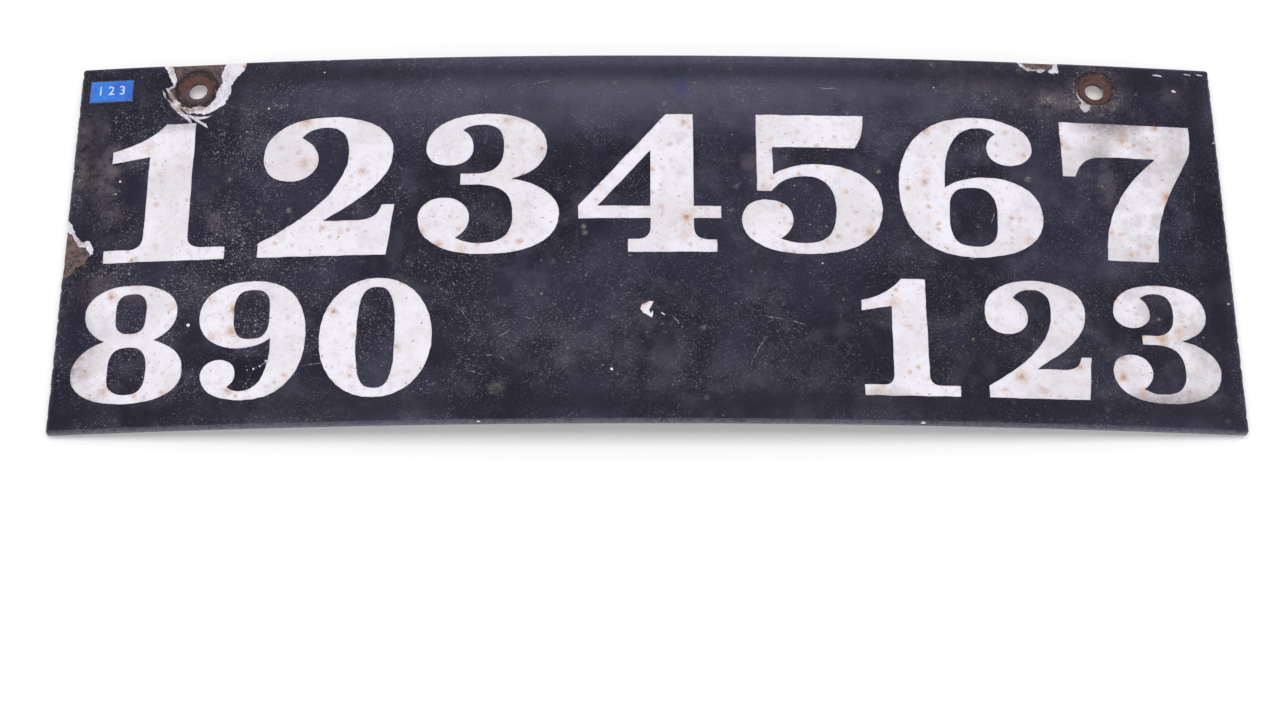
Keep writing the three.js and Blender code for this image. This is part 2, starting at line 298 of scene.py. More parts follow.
def prism(bm, outline, near, far, reach, seed):
    """Adds a closed cutter with a jagged outline, from one depth to another, bent to follow the plate."""
    face = bm.faces.new([bm.verts.new((x * MM, 0, z * MM)) for x, z in outline])
    split_edges(bm, face.edges, 0.55 * MM)
    near_side = list(face.verts)
    made = bmesh.ops.extrude_face_region(bm, geom=[face], use_keep_orig=True)["geom"]
    far_side = [v for v in made if isinstance(v, bmesh.types.BMVert)]
    for depth, verts in ((near, near_side), (far, far_side)):
        for v in verts:
            x, z = wander(v.co.x, v.co.z, reach, seed)
            v.co = roll(x, z, depth)


def split_edges(bm, edges, length):
    """Adds points along edges, at about the given distance from one another."""
    by_cuts = defaultdict(list)
    for edge in edges:
        by_cuts[int(edge.calc_length() / length)].append(edge)
    for cuts, group in by_cuts.items():
        if cuts:
            bmesh.ops.bisect_edges(bm, edges=group, cuts=cuts)


def round_outline(x, z, radius, seed):
    """Seven or more points round a small loss, no two of them the same way out."""
    count = max(7, int(radius * 2.5))
    points = []
    for k in range(count):
        angle = 2 * math.pi * k / count
        r = radius * (1 + 0.35 * noise.noise(Vector((math.cos(angle) * 1.3, seed, math.sin(angle) * 1.3))))
        points.append((x + r * math.cos(angle), z + r * math.sin(angle)))
    return points


def carve(bm, cutter, crossed=False):
    """Cuts a cutter out of a closed mesh and returns the result. Crossed cutters overlap one another."""
    bmesh.ops.recalc_face_normals(cutter, faces=cutter.faces)
    objects = []
    for name, source in (("blank", bm), ("cutter", cutter)):
        mesh = bpy.data.meshes.new(name)
        source.to_mesh(mesh)
        source.free()
        objects.append(bpy.data.objects.new(name, mesh))
        bpy.context.scene.collection.objects.link(objects[-1])
    blank, tool = objects
    cut = blank.modifiers.new("carve", "BOOLEAN")
    cut.operation, cut.solver, cut.object = "DIFFERENCE", "EXACT", tool
    cut.use_self = crossed
    evaluated = blank.evaluated_get(bpy.context.evaluated_depsgraph_get())
    result = bmesh.new()
    result.from_mesh(evaluated.to_mesh())
    evaluated.to_mesh_clear()
    for made in objects:
        mesh = made.data
        bpy.data.objects.remove(made)
        bpy.data.meshes.remove(mesh)
    if not result.faces:
        raise RuntimeError("A cut left nothing of the piece")
    bmesh.ops.remove_doubles(result, verts=result.verts, dist=JOINED)
    inner = {v for v in result.verts if inset_of(v.co.x, v.co.z) > 2.6 * MM}
    edges = [e for e in result.edges if inner.issuperset(e.verts)]
    bmesh.ops.dissolve_limit(result, angle_limit=FLAT, verts=list(inner), edges=edges)
    drop_crumbs(result)
    close_cracks(result)
    return result


def drop_crumbs(bm, fewest=40):
    """Deletes the loose bits of a few faces each that a cut can leave behind."""
    unseen = set(bm.verts)
    while unseen:
        part, waiting = set(), [unseen.pop()]
        while waiting:
            v = waiting.pop()
            part.add(v)
            near = {e.other_vert(v) for e in v.link_edges} & unseen
            unseen -= near
            waiting.extend(near)
        if len({f for v in part for f in v.link_faces}) < fewest:
            bmesh.ops.delete(bm, geom=list(part), context="VERTS")


def close_cracks(bm):
    """Joins the two sides of the hair-thin cracks that a cut can leave."""
    cracked = {v for e in bm.edges if len(e.link_faces) != 2 for v in e.verts}
    bmesh.ops.remove_doubles(bm, verts=list(cracked), dist=CRACK)
    bmesh.ops.holes_fill(bm, edges=[e for e in bm.edges if e.is_boundary])


def slice_near(bm, axis, places, near):
    """Cuts flat slices across the faces that pass a test, and leaves the rest alone."""
    faces = [f for f in bm.faces if near(f)]
    geometry = list({*faces, *(e for f in faces for e in f.edges), *(v for f in faces for v in f.verts)})
    for place in places:
        geometry = bmesh.ops.bisect_plane(bm, geom=geometry, plane_co=axis * place, plane_no=axis)["geom"]


def cut_border(bm, wear):
    """Cuts the bands along the plate's border that its rolled edge and its ragged ends need."""
    across, up = Vector((1, 0, 0)), Vector((0, 0, 1))
    bands = [step * wear.edge_roll for step in (0.12, 0.28, 0.5, 0.75, 1, 1.6, 2.6)]
    for half, axis in ((HALF_WIDTH, across), (HALF_HEIGHT, up)):
        for sign in (-1, 1):
            slice_near(bm, axis, [sign * (half - band) for band in bands], lambda f: True)
    steps = int(HALF_HEIGHT / (0.9 * MM))
    heights = [HALF_HEIGHT * k / steps for k in range(1 - steps, steps)]
    limit = HALF_WIDTH - 2.7 * wear.edge_roll
    slice_near(bm, up, heights, lambda f: all(abs(v.co.x) > limit for v in f.verts))


def cut_rims(bm):
    """Adds points along the edges of the figures, so that they can waver."""
    rims = []
    for edge in bm.edges:
        x, z, _ = unroll((edge.verts[0].co + edge.verts[1].co) / 2)
        if edge.calc_face_angle(0) > math.radians(45) and inset_of(x, z) > 3 * MM:
            rims.append(edge)
    split_edges(bm, rims, 1.3 * MM)


def waver(bm, wear):
    """Shifts the figures' edges as a hand-cut stencil leaves them, each within its own flat strip."""
    for v in bm.verts:
        x, z, _ = unroll(v.co)
        hole = min(math.hypot(x - hx, z - hz) for hx, hz in HOLES.values())
        if inset_of(x, z) < 3.5 * MM or hole < 10 * MM:
            continue
        strip = math.asin(x / RADIUS) / STRIP_ANGLE
        from_seam = abs(strip - round(strip)) * STRIP_ANGLE * RADIUS
        middle = (math.floor(strip) + 0.5) * STRIP_ANGLE
        dx = ripple(x, z, 7 * MM, 5) + 0.5 * ripple(x, z, 2.2 * MM, 6)
        dz = ripple(x, z, 7 * MM, 8) + 0.5 * ripple(x, z, 2.2 * MM, 9)
        dx *= min(from_seam / (1.5 * MM), 1)
        v.co += wear.stencil_waver * Vector((dx * math.cos(middle), dx * math.sin(middle), dz))


def wear_border(bm, wear):
    """Rolls the front of the plate's edges over, and leaves its two ends a little ragged."""
    roll_radius = wear.edge_roll
    for v in bm.verts:
        x, z, depth = unroll(v.co)
        inset = max(inset_of(x, z), 0)
        if inset < roll_radius:
            drop = roll_radius - math.sqrt(roll_radius**2 - (roll_radius - inset) ** 2)
            depth += drop * (1 - min(max(depth / THICKNESS, 0), 1))
        end = HALF_WIDTH - abs(x)
        if end < 2.6 * roll_radius:
            bite = max(0, ripple(0, z, 3.4 * MM, math.copysign(2, x)) + 0.6 * ripple(0, z, 1.5 * MM, 4))
            x -= math.copysign(wear.end_bite * bite * (1 - max(end, 0) / (2.6 * roll_radius)), x)
        v.co = roll(x, z, depth)


# ---------------------------------------------------------------- materials: the means


def put(tree, kind, sockets=None, **settings):
    """Adds a node, sets its properties, and feeds its inputs with values or with other nodes' outputs."""
    node = tree.nodes.new("ShaderNode" + kind)
    node.location = (190 * (len(tree.nodes) % 12), -260 * (len(tree.nodes) // 12))
    for name, value in settings.items():
        setattr(node, name, value)
    for name, value in (sockets or {}).items():
        if isinstance(value, bpy.types.NodeSocket):
            tree.links.new(value, node.inputs[name])
        else:
            node.inputs[name].default_value = value
    return node


def math_node(tree, operation, a, b=0.0):
    """One sum."""
    return put(tree, "Math", {0: a, 1: b}, operation=operation).outputs[0]


def vector_node(tree, operation, a, b):
    """A vector sum, difference, product or share."""
    return put(tree, "VectorMath", {0: a, 1: b}, operation=operation).outputs[0]


def noise_node(tree, coords, scale, detail=2.0, roughness=0.5):
    """Plain noise, with so many waves to the metre."""
    sockets = {"Vector": coords, "Scale": scale, "Detail": detail, "Roughness": roughness}
    return put(tree, "TexNoise", sockets).outputs[0]


def ramp(tree, value, low, high, to_low=0.0, to_high=1.0):
    """Maps a value smoothly from one range to another."""
    sockets = {"Value": value, "From Min": low, "From Max": high, "To Min": to_low, "To Max": to_high}
    return put(tree, "MapRange", sockets, interpolation_type="SMOOTHSTEP").outputs["Result"]


def lay(tree, under, over, *masks):
    """One colour laid over another, as far as the masks together let it."""
    mask = multiply(tree, *masks)
    # The Mix node has a pair of sockets for each kind of value. 6 and 7 are the colours, and 2 is their output.
    return put(tree, "Mix", {0: mask, 6: under, 7: over}, data_type="RGBA").outputs[2]


def blend_value(tree, mask, under, over):
    """One value where the mask is 0 and the other where it is 1."""
    return put(tree, "Mix", {0: mask, 2: under, 3: over}, data_type="FLOAT").outputs[0]


def multiply(tree, *values):
    """The product of masks or numbers."""
    product = values[0]
    for value in values[1:]:
        product = math_node(tree, "MULTIPLY", product, value)
    return product


def strongest(tree, *values):
    """The largest of several masks."""
    top = values[0]
    for value in values[1:]:
        top = math_node(tree, "MAXIMUM", top, value)
    return top


def build_group(name, inputs, outputs, fill):
    """A shader node group with named sockets, built once."""
    if name in bpy.data.node_groups:
        return bpy.data.node_groups[name]
    tree = bpy.data.node_groups.new(name, "ShaderNodeTree")
    for label, kind, default in inputs:
        socket = tree.interface.new_socket(label, in_out="INPUT", socket_type="NodeSocket" + kind)
        if default is not None:
            socket.default_value = default
    for label, kind in outputs:
        tree.interface.new_socket(label, in_out="OUTPUT", socket_type="NodeSocket" + kind)
    start = tree.nodes.new("NodeGroupInput")
    end = tree.nodes.new("NodeGroupOutput")
    for (label, _), value in zip(outputs, fill(tree, start.outputs)):
        tree.links.new(value, end.inputs[label])
    return tree


def use(tree, group, sockets):
    """Places a node group and returns its first output."""
    return put(tree, "Group", sockets, node_tree=group).outputs[0]


def speckle_group():
    """Scattered round spots of uneven size. Fill is the share of its own cell that the largest spot takes."""

    def fill(tree, given):
        scale = math_node(tree, "DIVIDE", 1.0, given["Spacing"])
        cells = put(tree, "TexVoronoi", {"Vector": given["Vector"], "Scale": scale},
                    voronoi_dimensions="3D")
        chance = put(tree, "SeparateColor", {0: cells.outputs["Color"]}).outputs[0]
        size = multiply(tree, chance, chance, given["Fill"])
        share = math_node(tree, "DIVIDE", cells.outputs["Distance"],
                          math_node(tree, "MAXIMUM", size, 0.001))
        inner = math_node(tree, "SUBTRACT", 1.0, given["Softness"])
        return [ramp(tree, share, inner, 1.0, 1.0, 0.0)]

    inputs = [("Vector", "Vector", None), ("Spacing", "Float", 0.005), ("Fill", "Float", 0.3),
              ("Softness", "Float", 0.5)]
    return build_group("Speckle", inputs, [("Mask", "Float")], fill)


def cloud_group():
    """Soft, uneven patches where noise of a given size lies between two levels."""

    def fill(tree, given):
        scale = math_node(tree, "DIVIDE", 1.0, given["Size"])
        cloud = put(tree, "TexNoise", {"Vector": given["Vector"], "Scale": scale, "Detail": 5.0,
                                       "Roughness": given["Grain"]}).outputs[0]
        return [ramp(tree, cloud, given["From"], given["To"])]

    inputs = [("Vector", "Vector", None), ("Size", "Float", 0.02), ("Grain", "Float", 0.55),
              ("From", "Float", 0.5), ("To", "Float", 0.7)]
    return build_group("Cloud", inputs, [("Mask", "Float")], fill)


def hairline_group():
    """Fine wandering scratches: thin level lines of stretched noise, broken up by a second noise."""

    def fill(tree, given):
        scale = math_node(tree, "DIVIDE", 1.0, given["Length"])
        turned = put(tree, "VectorRotate", {"Vector": given["Vector"], "Angle": given["Angle"]},
                     rotation_type="Y_AXIS").outputs[0]
        drawn = vector_node(tree, "MULTIPLY", turned, (1.0, 1.0, 5.0))
        level = put(tree, "TexNoise", {"Vector": drawn, "Scale": scale, "Detail": 1.0}).outputs[0]
        off = math_node(tree, "ABSOLUTE", math_node(tree, "SUBTRACT", level, 0.5))
        line = ramp(tree, off, 0.0, given["Width"], 1.0, 0.0)
        breaks = put(tree, "TexNoise", {"Vector": given["Vector"], "Scale": multiply(tree, scale, 2.6),
                                        "Detail": 2.0}).outputs[0]
        whole = math_node(tree, "ADD", given["Breaks"], 0.1)
        return [multiply(tree, line, ramp(tree, breaks, given["Breaks"], whole))]

    inputs = [("Vector", "Vector", None), ("Length", "Float", 0.02), ("Width", "Float", 0.004),
              ("Angle", "Float", 0.6), ("Breaks", "Float", 0.55)]
    return build_group("Hairlines", inputs, [("Mask", "Float")], fill)


def crazing_group():
    """A faint net of cracks: the borders between warped cells."""

    def fill(tree, given):
        scale = math_node(tree, "DIVIDE", 1.0, given["Spacing"])
        bend = put(tree, "TexNoise", {"Vector": given["Vector"],
                                      "Scale": multiply(tree, scale, 1.4)}).outputs["Color"]
        shift = put(tree, "VectorMath", {0: bend, "Scale": multiply(tree, given["Spacing"], 0.7)},
                    operation="SCALE").outputs[0]
        warped = vector_node(tree, "ADD", given["Vector"], shift)
        cells = put(tree, "TexVoronoi", {"Vector": warped, "Scale": scale},
                    feature="DISTANCE_TO_EDGE").outputs[0]
        return [ramp(tree, cells, 0.0, given["Width"], 1.0, 0.0)]

    inputs = [("Vector", "Vector", None), ("Spacing", "Float", 0.015), ("Width", "Float", 0.015)]
    return build_group("Crazing", inputs, [("Mask", "Float")], fill)


def patch_group():
    """One ragged-edged stain at a place. Reach is its half size along each axis."""

    def fill(tree, given):
        away = vector_node(tree, "SUBTRACT", given["Vector"], given["Centre"])
        share = vector_node(tree, "DIVIDE", away, given["Reach"])
        length = put(tree, "VectorMath", {0: share}, operation="LENGTH").outputs["Value"]
        ragged = noise_node(tree, given["Vector"], 190.0, detail=4.0)
        shift = multiply(tree, math_node(tree, "SUBTRACT", ragged, 0.5), given["Ragged"])
        return [ramp(tree, math_node(tree, "ADD", length, shift), given["Core"], 1.0, 1.0, 0.0)]

    inputs = [("Vector", "Vector", None), ("Centre", "Vector", None), ("Reach", "Vector", None),
              ("Ragged", "Float", 1.0), ("Core", "Float", 0.2)]
    return build_group("Stain", inputs, [("Mask", "Float")], fill)


def border_group():
    """A band along the plate's outline."""

    def fill(tree, given):
        spread = put(tree, "VectorMath", {0: given["Vector"]}, operation="ABSOLUTE").outputs[0]
        left = vector_node(tree, "SUBTRACT", (HALF_WIDTH, 0, HALF_HEIGHT), spread)
        parts = put(tree, "SeparateXYZ", {0: left})
        nearest = math_node(tree, "MINIMUM", parts.outputs[0], parts.outputs[2])
        return [ramp(tree, nearest, 0.0, given["Reach"], 1.0, 0.0)]

    inputs = [("Vector", "Vector", None), ("Reach", "Float", 0.01)]
    return build_group("Border", inputs, [("Mask", "Float")], fill)


def rust_group():
    """Old dark scale under brown, orange and ashy patches, with black pits."""

    def fill(tree, given):
        at = given["Vector"]
        brown = cloud(tree, at, 2.6, 0.38, 0.6, grain=0.75)
        colour = lay(tree, given["Dark"], given["Brown"], brown)
        orange = cloud(tree, at, 1.6, 0.5, 0.68, grain=0.75, shift=0.4)
        colour = lay(tree, colour, given["Orange"], orange, 0.7)
        ash = cloud(tree, at, 0.9, 0.54, 0.7, grain=0.8, shift=0.9)
        colour = lay(tree, colour, given["Pale"], ash, 0.6)
        pits = speckle(tree, at, 0.8, 0.5, 0.7)
        return [lay(tree, colour, (0.012, 0.009, 0.01, 1), pits, 0.75), pits]

    inputs = [("Vector", "Vector", None), ("Dark", "Color", None), ("Brown", "Color", None),
              ("Orange", "Color", None), ("Pale", "Color", None)]
    return build_group("Rust", inputs, [("Colour", "Color"), ("Pits", "Float")], fill)


def start_material(name):
    """An empty material, its tree, its shader and the object's own coordinates."""
    material = bpy.data.materials.new(name)
    material.use_nodes = True
    tree = material.node_tree
    tree.nodes.clear()
    shader = put(tree, "BsdfPrincipled")
    put(tree, "OutputMaterial", {"Surface": shader.outputs[0]})
    coords = put(tree, "TexCoord").outputs["Object"]
    return material, tree, shader, coords


def join(tree, shader, colour, roughness, height, distance, strength=1.0):
    """Feeds the shader its colour, roughness and relief."""
    bump = put(tree, "Bump", {"Height": height, "Distance": distance, "Strength": strength}).outputs[0]
    tree.links.new(colour, shader.inputs["Base Color"])
    tree.links.new(roughness, shader.inputs["Roughness"])
    tree.links.new(bump, shader.inputs["Normal"])


def stain(tree, coords, x, z, reach_x, reach_z, ragged=1.0, core=0.1):
    """A stain at a place given in millimetres."""
    place = {"Vector": coords, "Centre": roll(x * MM, z * MM, 0),
             "Reach": (reach_x * MM, 0.05, reach_z * MM)}
    return use(tree, patch_group(), {**place, "Ragged": ragged, "Core": core})


def stains(tree, coords, places, ragged):
    """The strongest of several stains, each given as (x, z, half width, half height, share)."""
    masks = []
    for x, z, reach_x, reach_z, share in places:
        masks.append(multiply(tree, stain(tree, coords, x, z, reach_x, reach_z, ragged=ragged), share))
    return strongest(tree, *masks)


def cloud(tree, coords, size, low, high, grain=0.55, shift=0.0):
    """Soft patches of a size in millimetres."""
    coords = moved(tree, coords, shift)
    sockets = {"Vector": coords, "Size": size * MM, "From": low, "To": high, "Grain": grain}
    return use(tree, cloud_group(), sockets)


def speckle(tree, coords, spacing, fill, softness, shift=0.0):
    """Round spots at a spacing in millimetres."""
    coords = moved(tree, coords, shift)
    sockets = {"Vector": coords, "Spacing": spacing * MM, "Fill": fill, "Softness": softness}
    return use(tree, speckle_group(), sockets)


def crazing(tree, coords, spacing):
    """A net of cracks whose cells are of a size in millimetres."""
    return use(tree, crazing_group(), {"Vector": coords, "Spacing": spacing * MM, "Width": 0.018})


def hairlines(tree, coords, length, width, angle, breaks, shift=0.0):
    """Fine scratches of a length in millimetres."""
    coords = moved(tree, coords, shift)
    sockets = {"Vector": coords, "Length": length * MM, "Width": width, "Angle": angle, "Breaks": breaks}
    return use(tree, hairline_group(), sockets)


def moved(tree, coords, by):
    """The same coordinates shifted, so that a pattern used twice doesn't repeat in step."""
    if not by:
        return coords
    return vector_node(tree, "ADD", coords, (by, by, by))


# ---------------------------------------------------------------- materials: the finishes


def black_enamel():
    """Weathered blue-black enamel under dust, fine pale specks, old scratches and rust run-off, with a painted
    sheen over its upper part and a band of painted shade inside its border.
    """
    wear = bpy.context.scene.sign_wear
    material, tree, shader, at = start_material("black_enamel")
    colour = lay(tree, wear.black, wear.black_faded, cloud(tree, at, 48, 0.36, 0.66))
    bloom = cloud(tree, at, 14, 0.44, 0.74, grain=0.62, shift=0.9)
    colour = lay(tree, colour, wear.bloom, bloom, 0.42)
    # A lighter haze over the upper part of the plate, laid in the bloom colour: painted sheen, standing in for
    # the soft reflection of a light on the upper enamel.
    high = multiply(tree, stain(tree, at, 0, 66, 220, 34, ragged=0.4),
                    cloud(tree, at, 24, 0.12, 0.5, shift=0.2))
    colour = lay(tree, colour, wear.bloom, high)

    left = stain(tree, at, -190, -10, 190, 120, ragged=0.6)
    density = blend_value(tree, left, 0.3, 0.8)
    fine = speckle(tree, at, 0.58, 0.56, 0.5)
    coarse = speckle(tree, at, 2.1, 0.3, 0.6, shift=0.6)
    grain = cloud(tree, at, 0.7, 0.56, 0.7, grain=0.8)
    spread = cloud(tree, at, 20, 0.32, 0.62, shift=0.3)
    dust = multiply(tree, strongest(tree, fine, coarse, grain), density, spread)
    colour = lay(tree, colour, wear.dust, dust)
    spots = strongest(tree, speckle(tree, at, 11, 0.2, 1.0), speckle(tree, at, 5.5, 0.17, 0.8, shift=1.1))
    spots = multiply(tree, spots, cloud(tree, at, 1.2, 0.3, 0.6))
    colour = lay(tree, colour, wear.limescale, spots, 0.5)
    brown = black_stains(tree, at)
    colour = lay(tree, colour, wear.run_off, brown)
    burst = strongest(tree, *(stain(tree, at, x, z, rx, rz, ragged=0.8, core=0.35) for x, z, rx, rz in (
        (165.4, 60.6, 8, 10), (171, 65, 14, 13), (-211, 28, 5, 6), (-210, -9, 6, 6), (152, 59, 6, 3))))
    flecks = multiply(tree, burst, cloud(tree, at, 0.8, 0.53, 0.62, grain=0.85, shift=1.4))
    colour = lay(tree, colour, wear.flecks, flecks, 0.85)
    blue = multiply(tree, stain(tree, at, 12.7, 63, 5, 7, ragged=1.5), 0.35)
    colour = lay(tree, colour, (0.02, 0.03, 0.2, 1), blue)

    lines = strongest(
        tree,
        multiply(tree, hairlines(tree, at, 26, 0.003, 0.9, 0.56), 0.24),
        multiply(tree, hairlines(tree, at, 17, 0.0026, -0.7, 0.6, shift=0.4), 0.22),
        multiply(tree, drawn_scratches(tree, at), 0.85),
        multiply(tree, crazing(tree, at, 13), cloud(tree, at, 30, 0.42, 0.62, shift=2.1), 0.05),
    )
    colour = lay(tree, colour, wear.scratch, lines)
    # A band inside the border is laid back to the plain black: nothing at the edge itself, strongest some 7 mm
    # in, gone by 17 mm. This is painted shade, the darker reflection near the plate's edges.
    wide, narrow = (use(tree, border_group(), {"Vector": at, "Reach": reach * MM}) for reach in (17, 10))
    band = multiply(tree, wide, math_node(tree, "SUBTRACT", 1.0, narrow), 2.2)
    colour = lay(tree, colour, wear.black, band, 0.6)
    rim = use(tree, border_group(), {"Vector": at, "Reach": 1.5 * MM})
    colour = lay(tree, colour, wear.rubbed_edge, rim, cloud(tree, at, 2, 0.2, 0.6), 0.8)

    dull = strongest(tree, dust, multiply(tree, bloom, 0.5), brown, spots)
    roughness = blend_value(tree, dull, ramp(tree, cloud(tree, at, 30, 0.3, 0.7), 0, 1, 0.24, 0.34), 0.66)
    shader.inputs["Specular IOR Level"].default_value = 0.27
    peel = noise_node(tree, at, 420.0, detail=2.0)
    height = math_node(tree, "ADD", peel, multiply(tree, dust, 1.4))
    height = math_node(tree, "SUBTRACT", height, multiply(tree, lines, 2.0))
    join(tree, shader, colour, roughness, height, 0.00003)
    return material


def black_stains(tree, at):
    """Brown run-off round the holes and down the left end."""
    places = (
        (-207, 30, 14, 18, 1.0, 0.9), (-210, 48, 9, 14, 1.0, 0.75), (-199, 12, 8, 7, 1.0, 0.45),
        (-203, -18, 13, 9, 1.0, 0.5), (-186, -22, 16, 6, 1.2, 0.4), (-150, -22, 20, 6, 1.4, 0.4),
        (154, 60, 18, 8, 1.8, 0.6), (171, 65, 16, 14, 1.0, 0.9), (122, 67, 26, 8, 1.8, 0.4),
        (200, 66, 12, 8, 1.6, 0.35), (172, 24, 5, 16, 1.4, 0.4), (-54, -63, 4, 3.6, 1.0, 0.9),
        (15, -68, 6, 5, 1.4, 0.35), (40, 30, 10, 7, 1.2, 0.35), (-160, 8, 5, 6, 1.0, 0.5),
        (-30, -52, 4, 4, 1.2, 0.3), (205, -62, 8, 8, 1.4, 0.35),
    )
    masks = []
    for x, z, reach_x, reach_z, ragged, share in places:
        masks.append(multiply(tree, stain(tree, at, x, z, reach_x, reach_z, ragged=ragged), share))
    return multiply(tree, strongest(tree, *masks), cloud(tree, at, 3, 0.3, 0.6, grain=0.7))


# The scratches that a hand would find, as (x, z, half length, angle in degrees).
SCRATCHES = [
    (-66.6, -33.8, 4.4, -63), (-42.9, -35.2, 2.2, -8), (-52.1, -41.5, 3.6, 38), (-56.8, -49.9, 2.2, 6),
    (-52.9, -51, 2.3, -40), (-61.9, -56.9, 3.8, -15), (39.8, -47.7, 9.6, 62), (45.6, -35.1, 4.6, -11),
    (10.7, -37.1, 5, -52), (12.9, -39.6, 2.2, -54), (-70.8, -21.1, 1.4, -82), (53.9, -37.1, 4, -17),
    (-119, -52, 7, 8), (-139, -52.4, 4, 24), (205, 20, 4, 80), (128, 8, 4, 70), (-40, 64, 5, 12),
    (68, 62, 6, -4),
]


def drawn_scratches(tree, coords):
    """The larger scratches, each a thin bent ellipse."""
    masks = []
    bent = put(tree, "TexNoise", {"Vector": coords, "Scale": 240.0, "Detail": 1.0}).outputs["Color"]
    shift = vector_node(tree, "SUBTRACT", bent, (0.5, 0.5, 0.5))
    small = put(tree, "VectorMath", {0: shift, "Scale": 0.0018}, operation="SCALE").outputs[0]
    at = vector_node(tree, "ADD", coords, small)
    for x, z, half, angle in SCRATCHES:
        away = vector_node(tree, "SUBTRACT", at, roll(x * MM, z * MM, 0))
        turned = put(tree, "VectorRotate", {"Vector": away, "Angle": math.radians(angle)},
                     rotation_type="Y_AXIS").outputs[0]
        share = vector_node(tree, "DIVIDE", turned, (half * MM, 0.05, 0.17 * MM))
        length = put(tree, "VectorMath", {0: share}, operation="LENGTH").outputs["Value"]
        masks.append(ramp(tree, length, 0.3, 1.0, 1.0, 0.0))
    broken = cloud(tree, coords, 1.6, 0.36, 0.56)
    return multiply(tree, strongest(tree, *masks), broken)


def white_enamel():
    """Glossy white enamel with tan rust spots, brown pin-pricks and grime, rough where it is chipped, with
    painted shade on the broken enamel.
    """
    wear = bpy.context.scene.sign_wear
    material, tree, shader, at = start_material("white_enamel")
    colour = lay(tree, wear.white, wear.white_aged, cloud(tree, at, 24, 0.38, 0.68))
    x = put(tree, "SeparateXYZ", {0: at}).outputs[0]
    right = ramp(tree, x, 0.1, 0.22, 0.05, 0.62)
    smears = multiply(tree, right, cloud(tree, at, 8, 0.36, 0.66, grain=0.7, shift=0.2))
    colour = lay(tree, colour, wear.grime, smears)
    grey = multiply(tree, cloud(tree, at, 5, 0.5, 0.74, grain=0.75, shift=0.9), 0.36)
    colour = lay(tree, colour, wear.grime, grey)

    mottle = multiply(tree, cloud(tree, at, 2.4, 0.46, 0.7, grain=0.75, shift=0.35), 0.3)
    colour = lay(tree, colour, wear.mottle, mottle)

    worst = cloud(tree, at, 26, 0.32, 0.52, shift=0.5)
    halo = strongest(tree, speckle(tree, at, 7.5, 0.7, 1.0), speckle(tree, at, 3.4, 0.6, 1.0, shift=0.8))
    halo = multiply(tree, halo, worst, cloud(tree, at, 1.6, 0.24, 0.6, shift=1.9))
    colour = lay(tree, colour, wear.rust_halo, halo, 0.9)
    core = strongest(tree, speckle(tree, at, 7.5, 0.28, 0.9), speckle(tree, at, 2.9, 0.24, 0.8, shift=1.7))
    colour = lay(tree, colour, wear.rust_spot, core, 0.75)
    pricks = speckle(tree, at, 1.7, 0.22, 0.5, shift=2.3)
    colour = lay(tree, colour, (0.16, 0.13, 0.13, 1), pricks, 0.6)

    places = (
        (-216, -42, 22, 34, 0.95), (-205, -66, 18, 8, 0.5), (175, 52, 20, 12, 0.9), (170, 30, 9, 30, 0.5),
        (186, -67, 30, 9, 0.85), (-206, 48, 11, 7, 0.9), (214, -30, 9, 30, 0.55), (-212, -20, 12, 9, 0.5),
        (212, 46, 8, 18, 0.45), (-178, 49, 22, 4.5, 0.45), (84, -66, 20, 5, 0.4), (196, -6, 14, 6, 0.4),
    )
    dirt = multiply(tree, stains(tree, at, places, ragged=0.5), cloud(tree, at, 1.3, 0.2, 0.58, grain=0.8))
    colour = lay(tree, colour, wear.soot, dirt)
    cracks = multiply(tree, hairlines(tree, at, 14, 0.0022, 0.4, 0.5, shift=0.15), 0.16)
    colour = lay(tree, colour, (0.2, 0.17, 0.16, 1), cracks)

    broken, rusted = chip_masks(tree, at)
    drawn = vector_node(tree, "MULTIPLY", at, (1.0, 1.0, 0.4))
    streaks = cloud(tree, drawn, 0.9, 0.42, 0.6, grain=0.7)
    # Round the holes and chips the broken white is laid in streaks of the fracture colour, a lilac grey:
    # painted shade, as of broken enamel lying in shadow.
    colour = lay(tree, colour, wear.fracture, broken, streaks, 0.6)
    colour = lay(tree, colour, wear.rust_orange, rusted, cloud(tree, at, 1.2, 0.36, 0.52, grain=0.75))

    marred = strongest(tree, dirt, smears, multiply(tree, broken, 0.9), multiply(tree, core, 0.7))
    roughness = blend_value(tree, marred, 0.24, 0.6)
    peel = noise_node(tree, at, 420.0, detail=2.0)
    fracture = noise_node(tree, drawn, 1100.0, detail=3.0)
    height = math_node(tree, "ADD", peel, multiply(tree, fracture, broken, 7.0))
    height = math_node(tree, "SUBTRACT", height, multiply(tree, core, 1.2))
    join(tree, shader, colour, roughness, height, 0.00003)
    return material


def chip_masks(tree, at):
    """Where the coats round the holes and chips are broken, and where rust has crept over the rest."""
    places = ((-169, 63, 18, 17, 0.7), (171, 64, 12, 12, 0.8), (149, 74, 11, 4.6, 0.7),
              (-211, -2, 8.5, 14, 0.7))
    broken = [stain(tree, at, x, z, rx, rz, ragged=0.3, core=core) for x, z, rx, rz, core in places]
    crept = ((-181, 62, 6, 8, 0.95), (-175, 56.4, 8, 3.6, 0.9), (-169.6, 57, 4.6, 3, 0.8),
             (-180.6, 74, 3, 5, 0.55), (167.4, 58.8, 4, 2.4, 0.6), (-212, -9, 9, 8, 1.0),
             (-210, 2.6, 5, 6, 0.6), (148, 73.6, 7, 2.2, 0.7))
    return strongest(tree, *broken), stains(tree, at, crept, ragged=0.8)


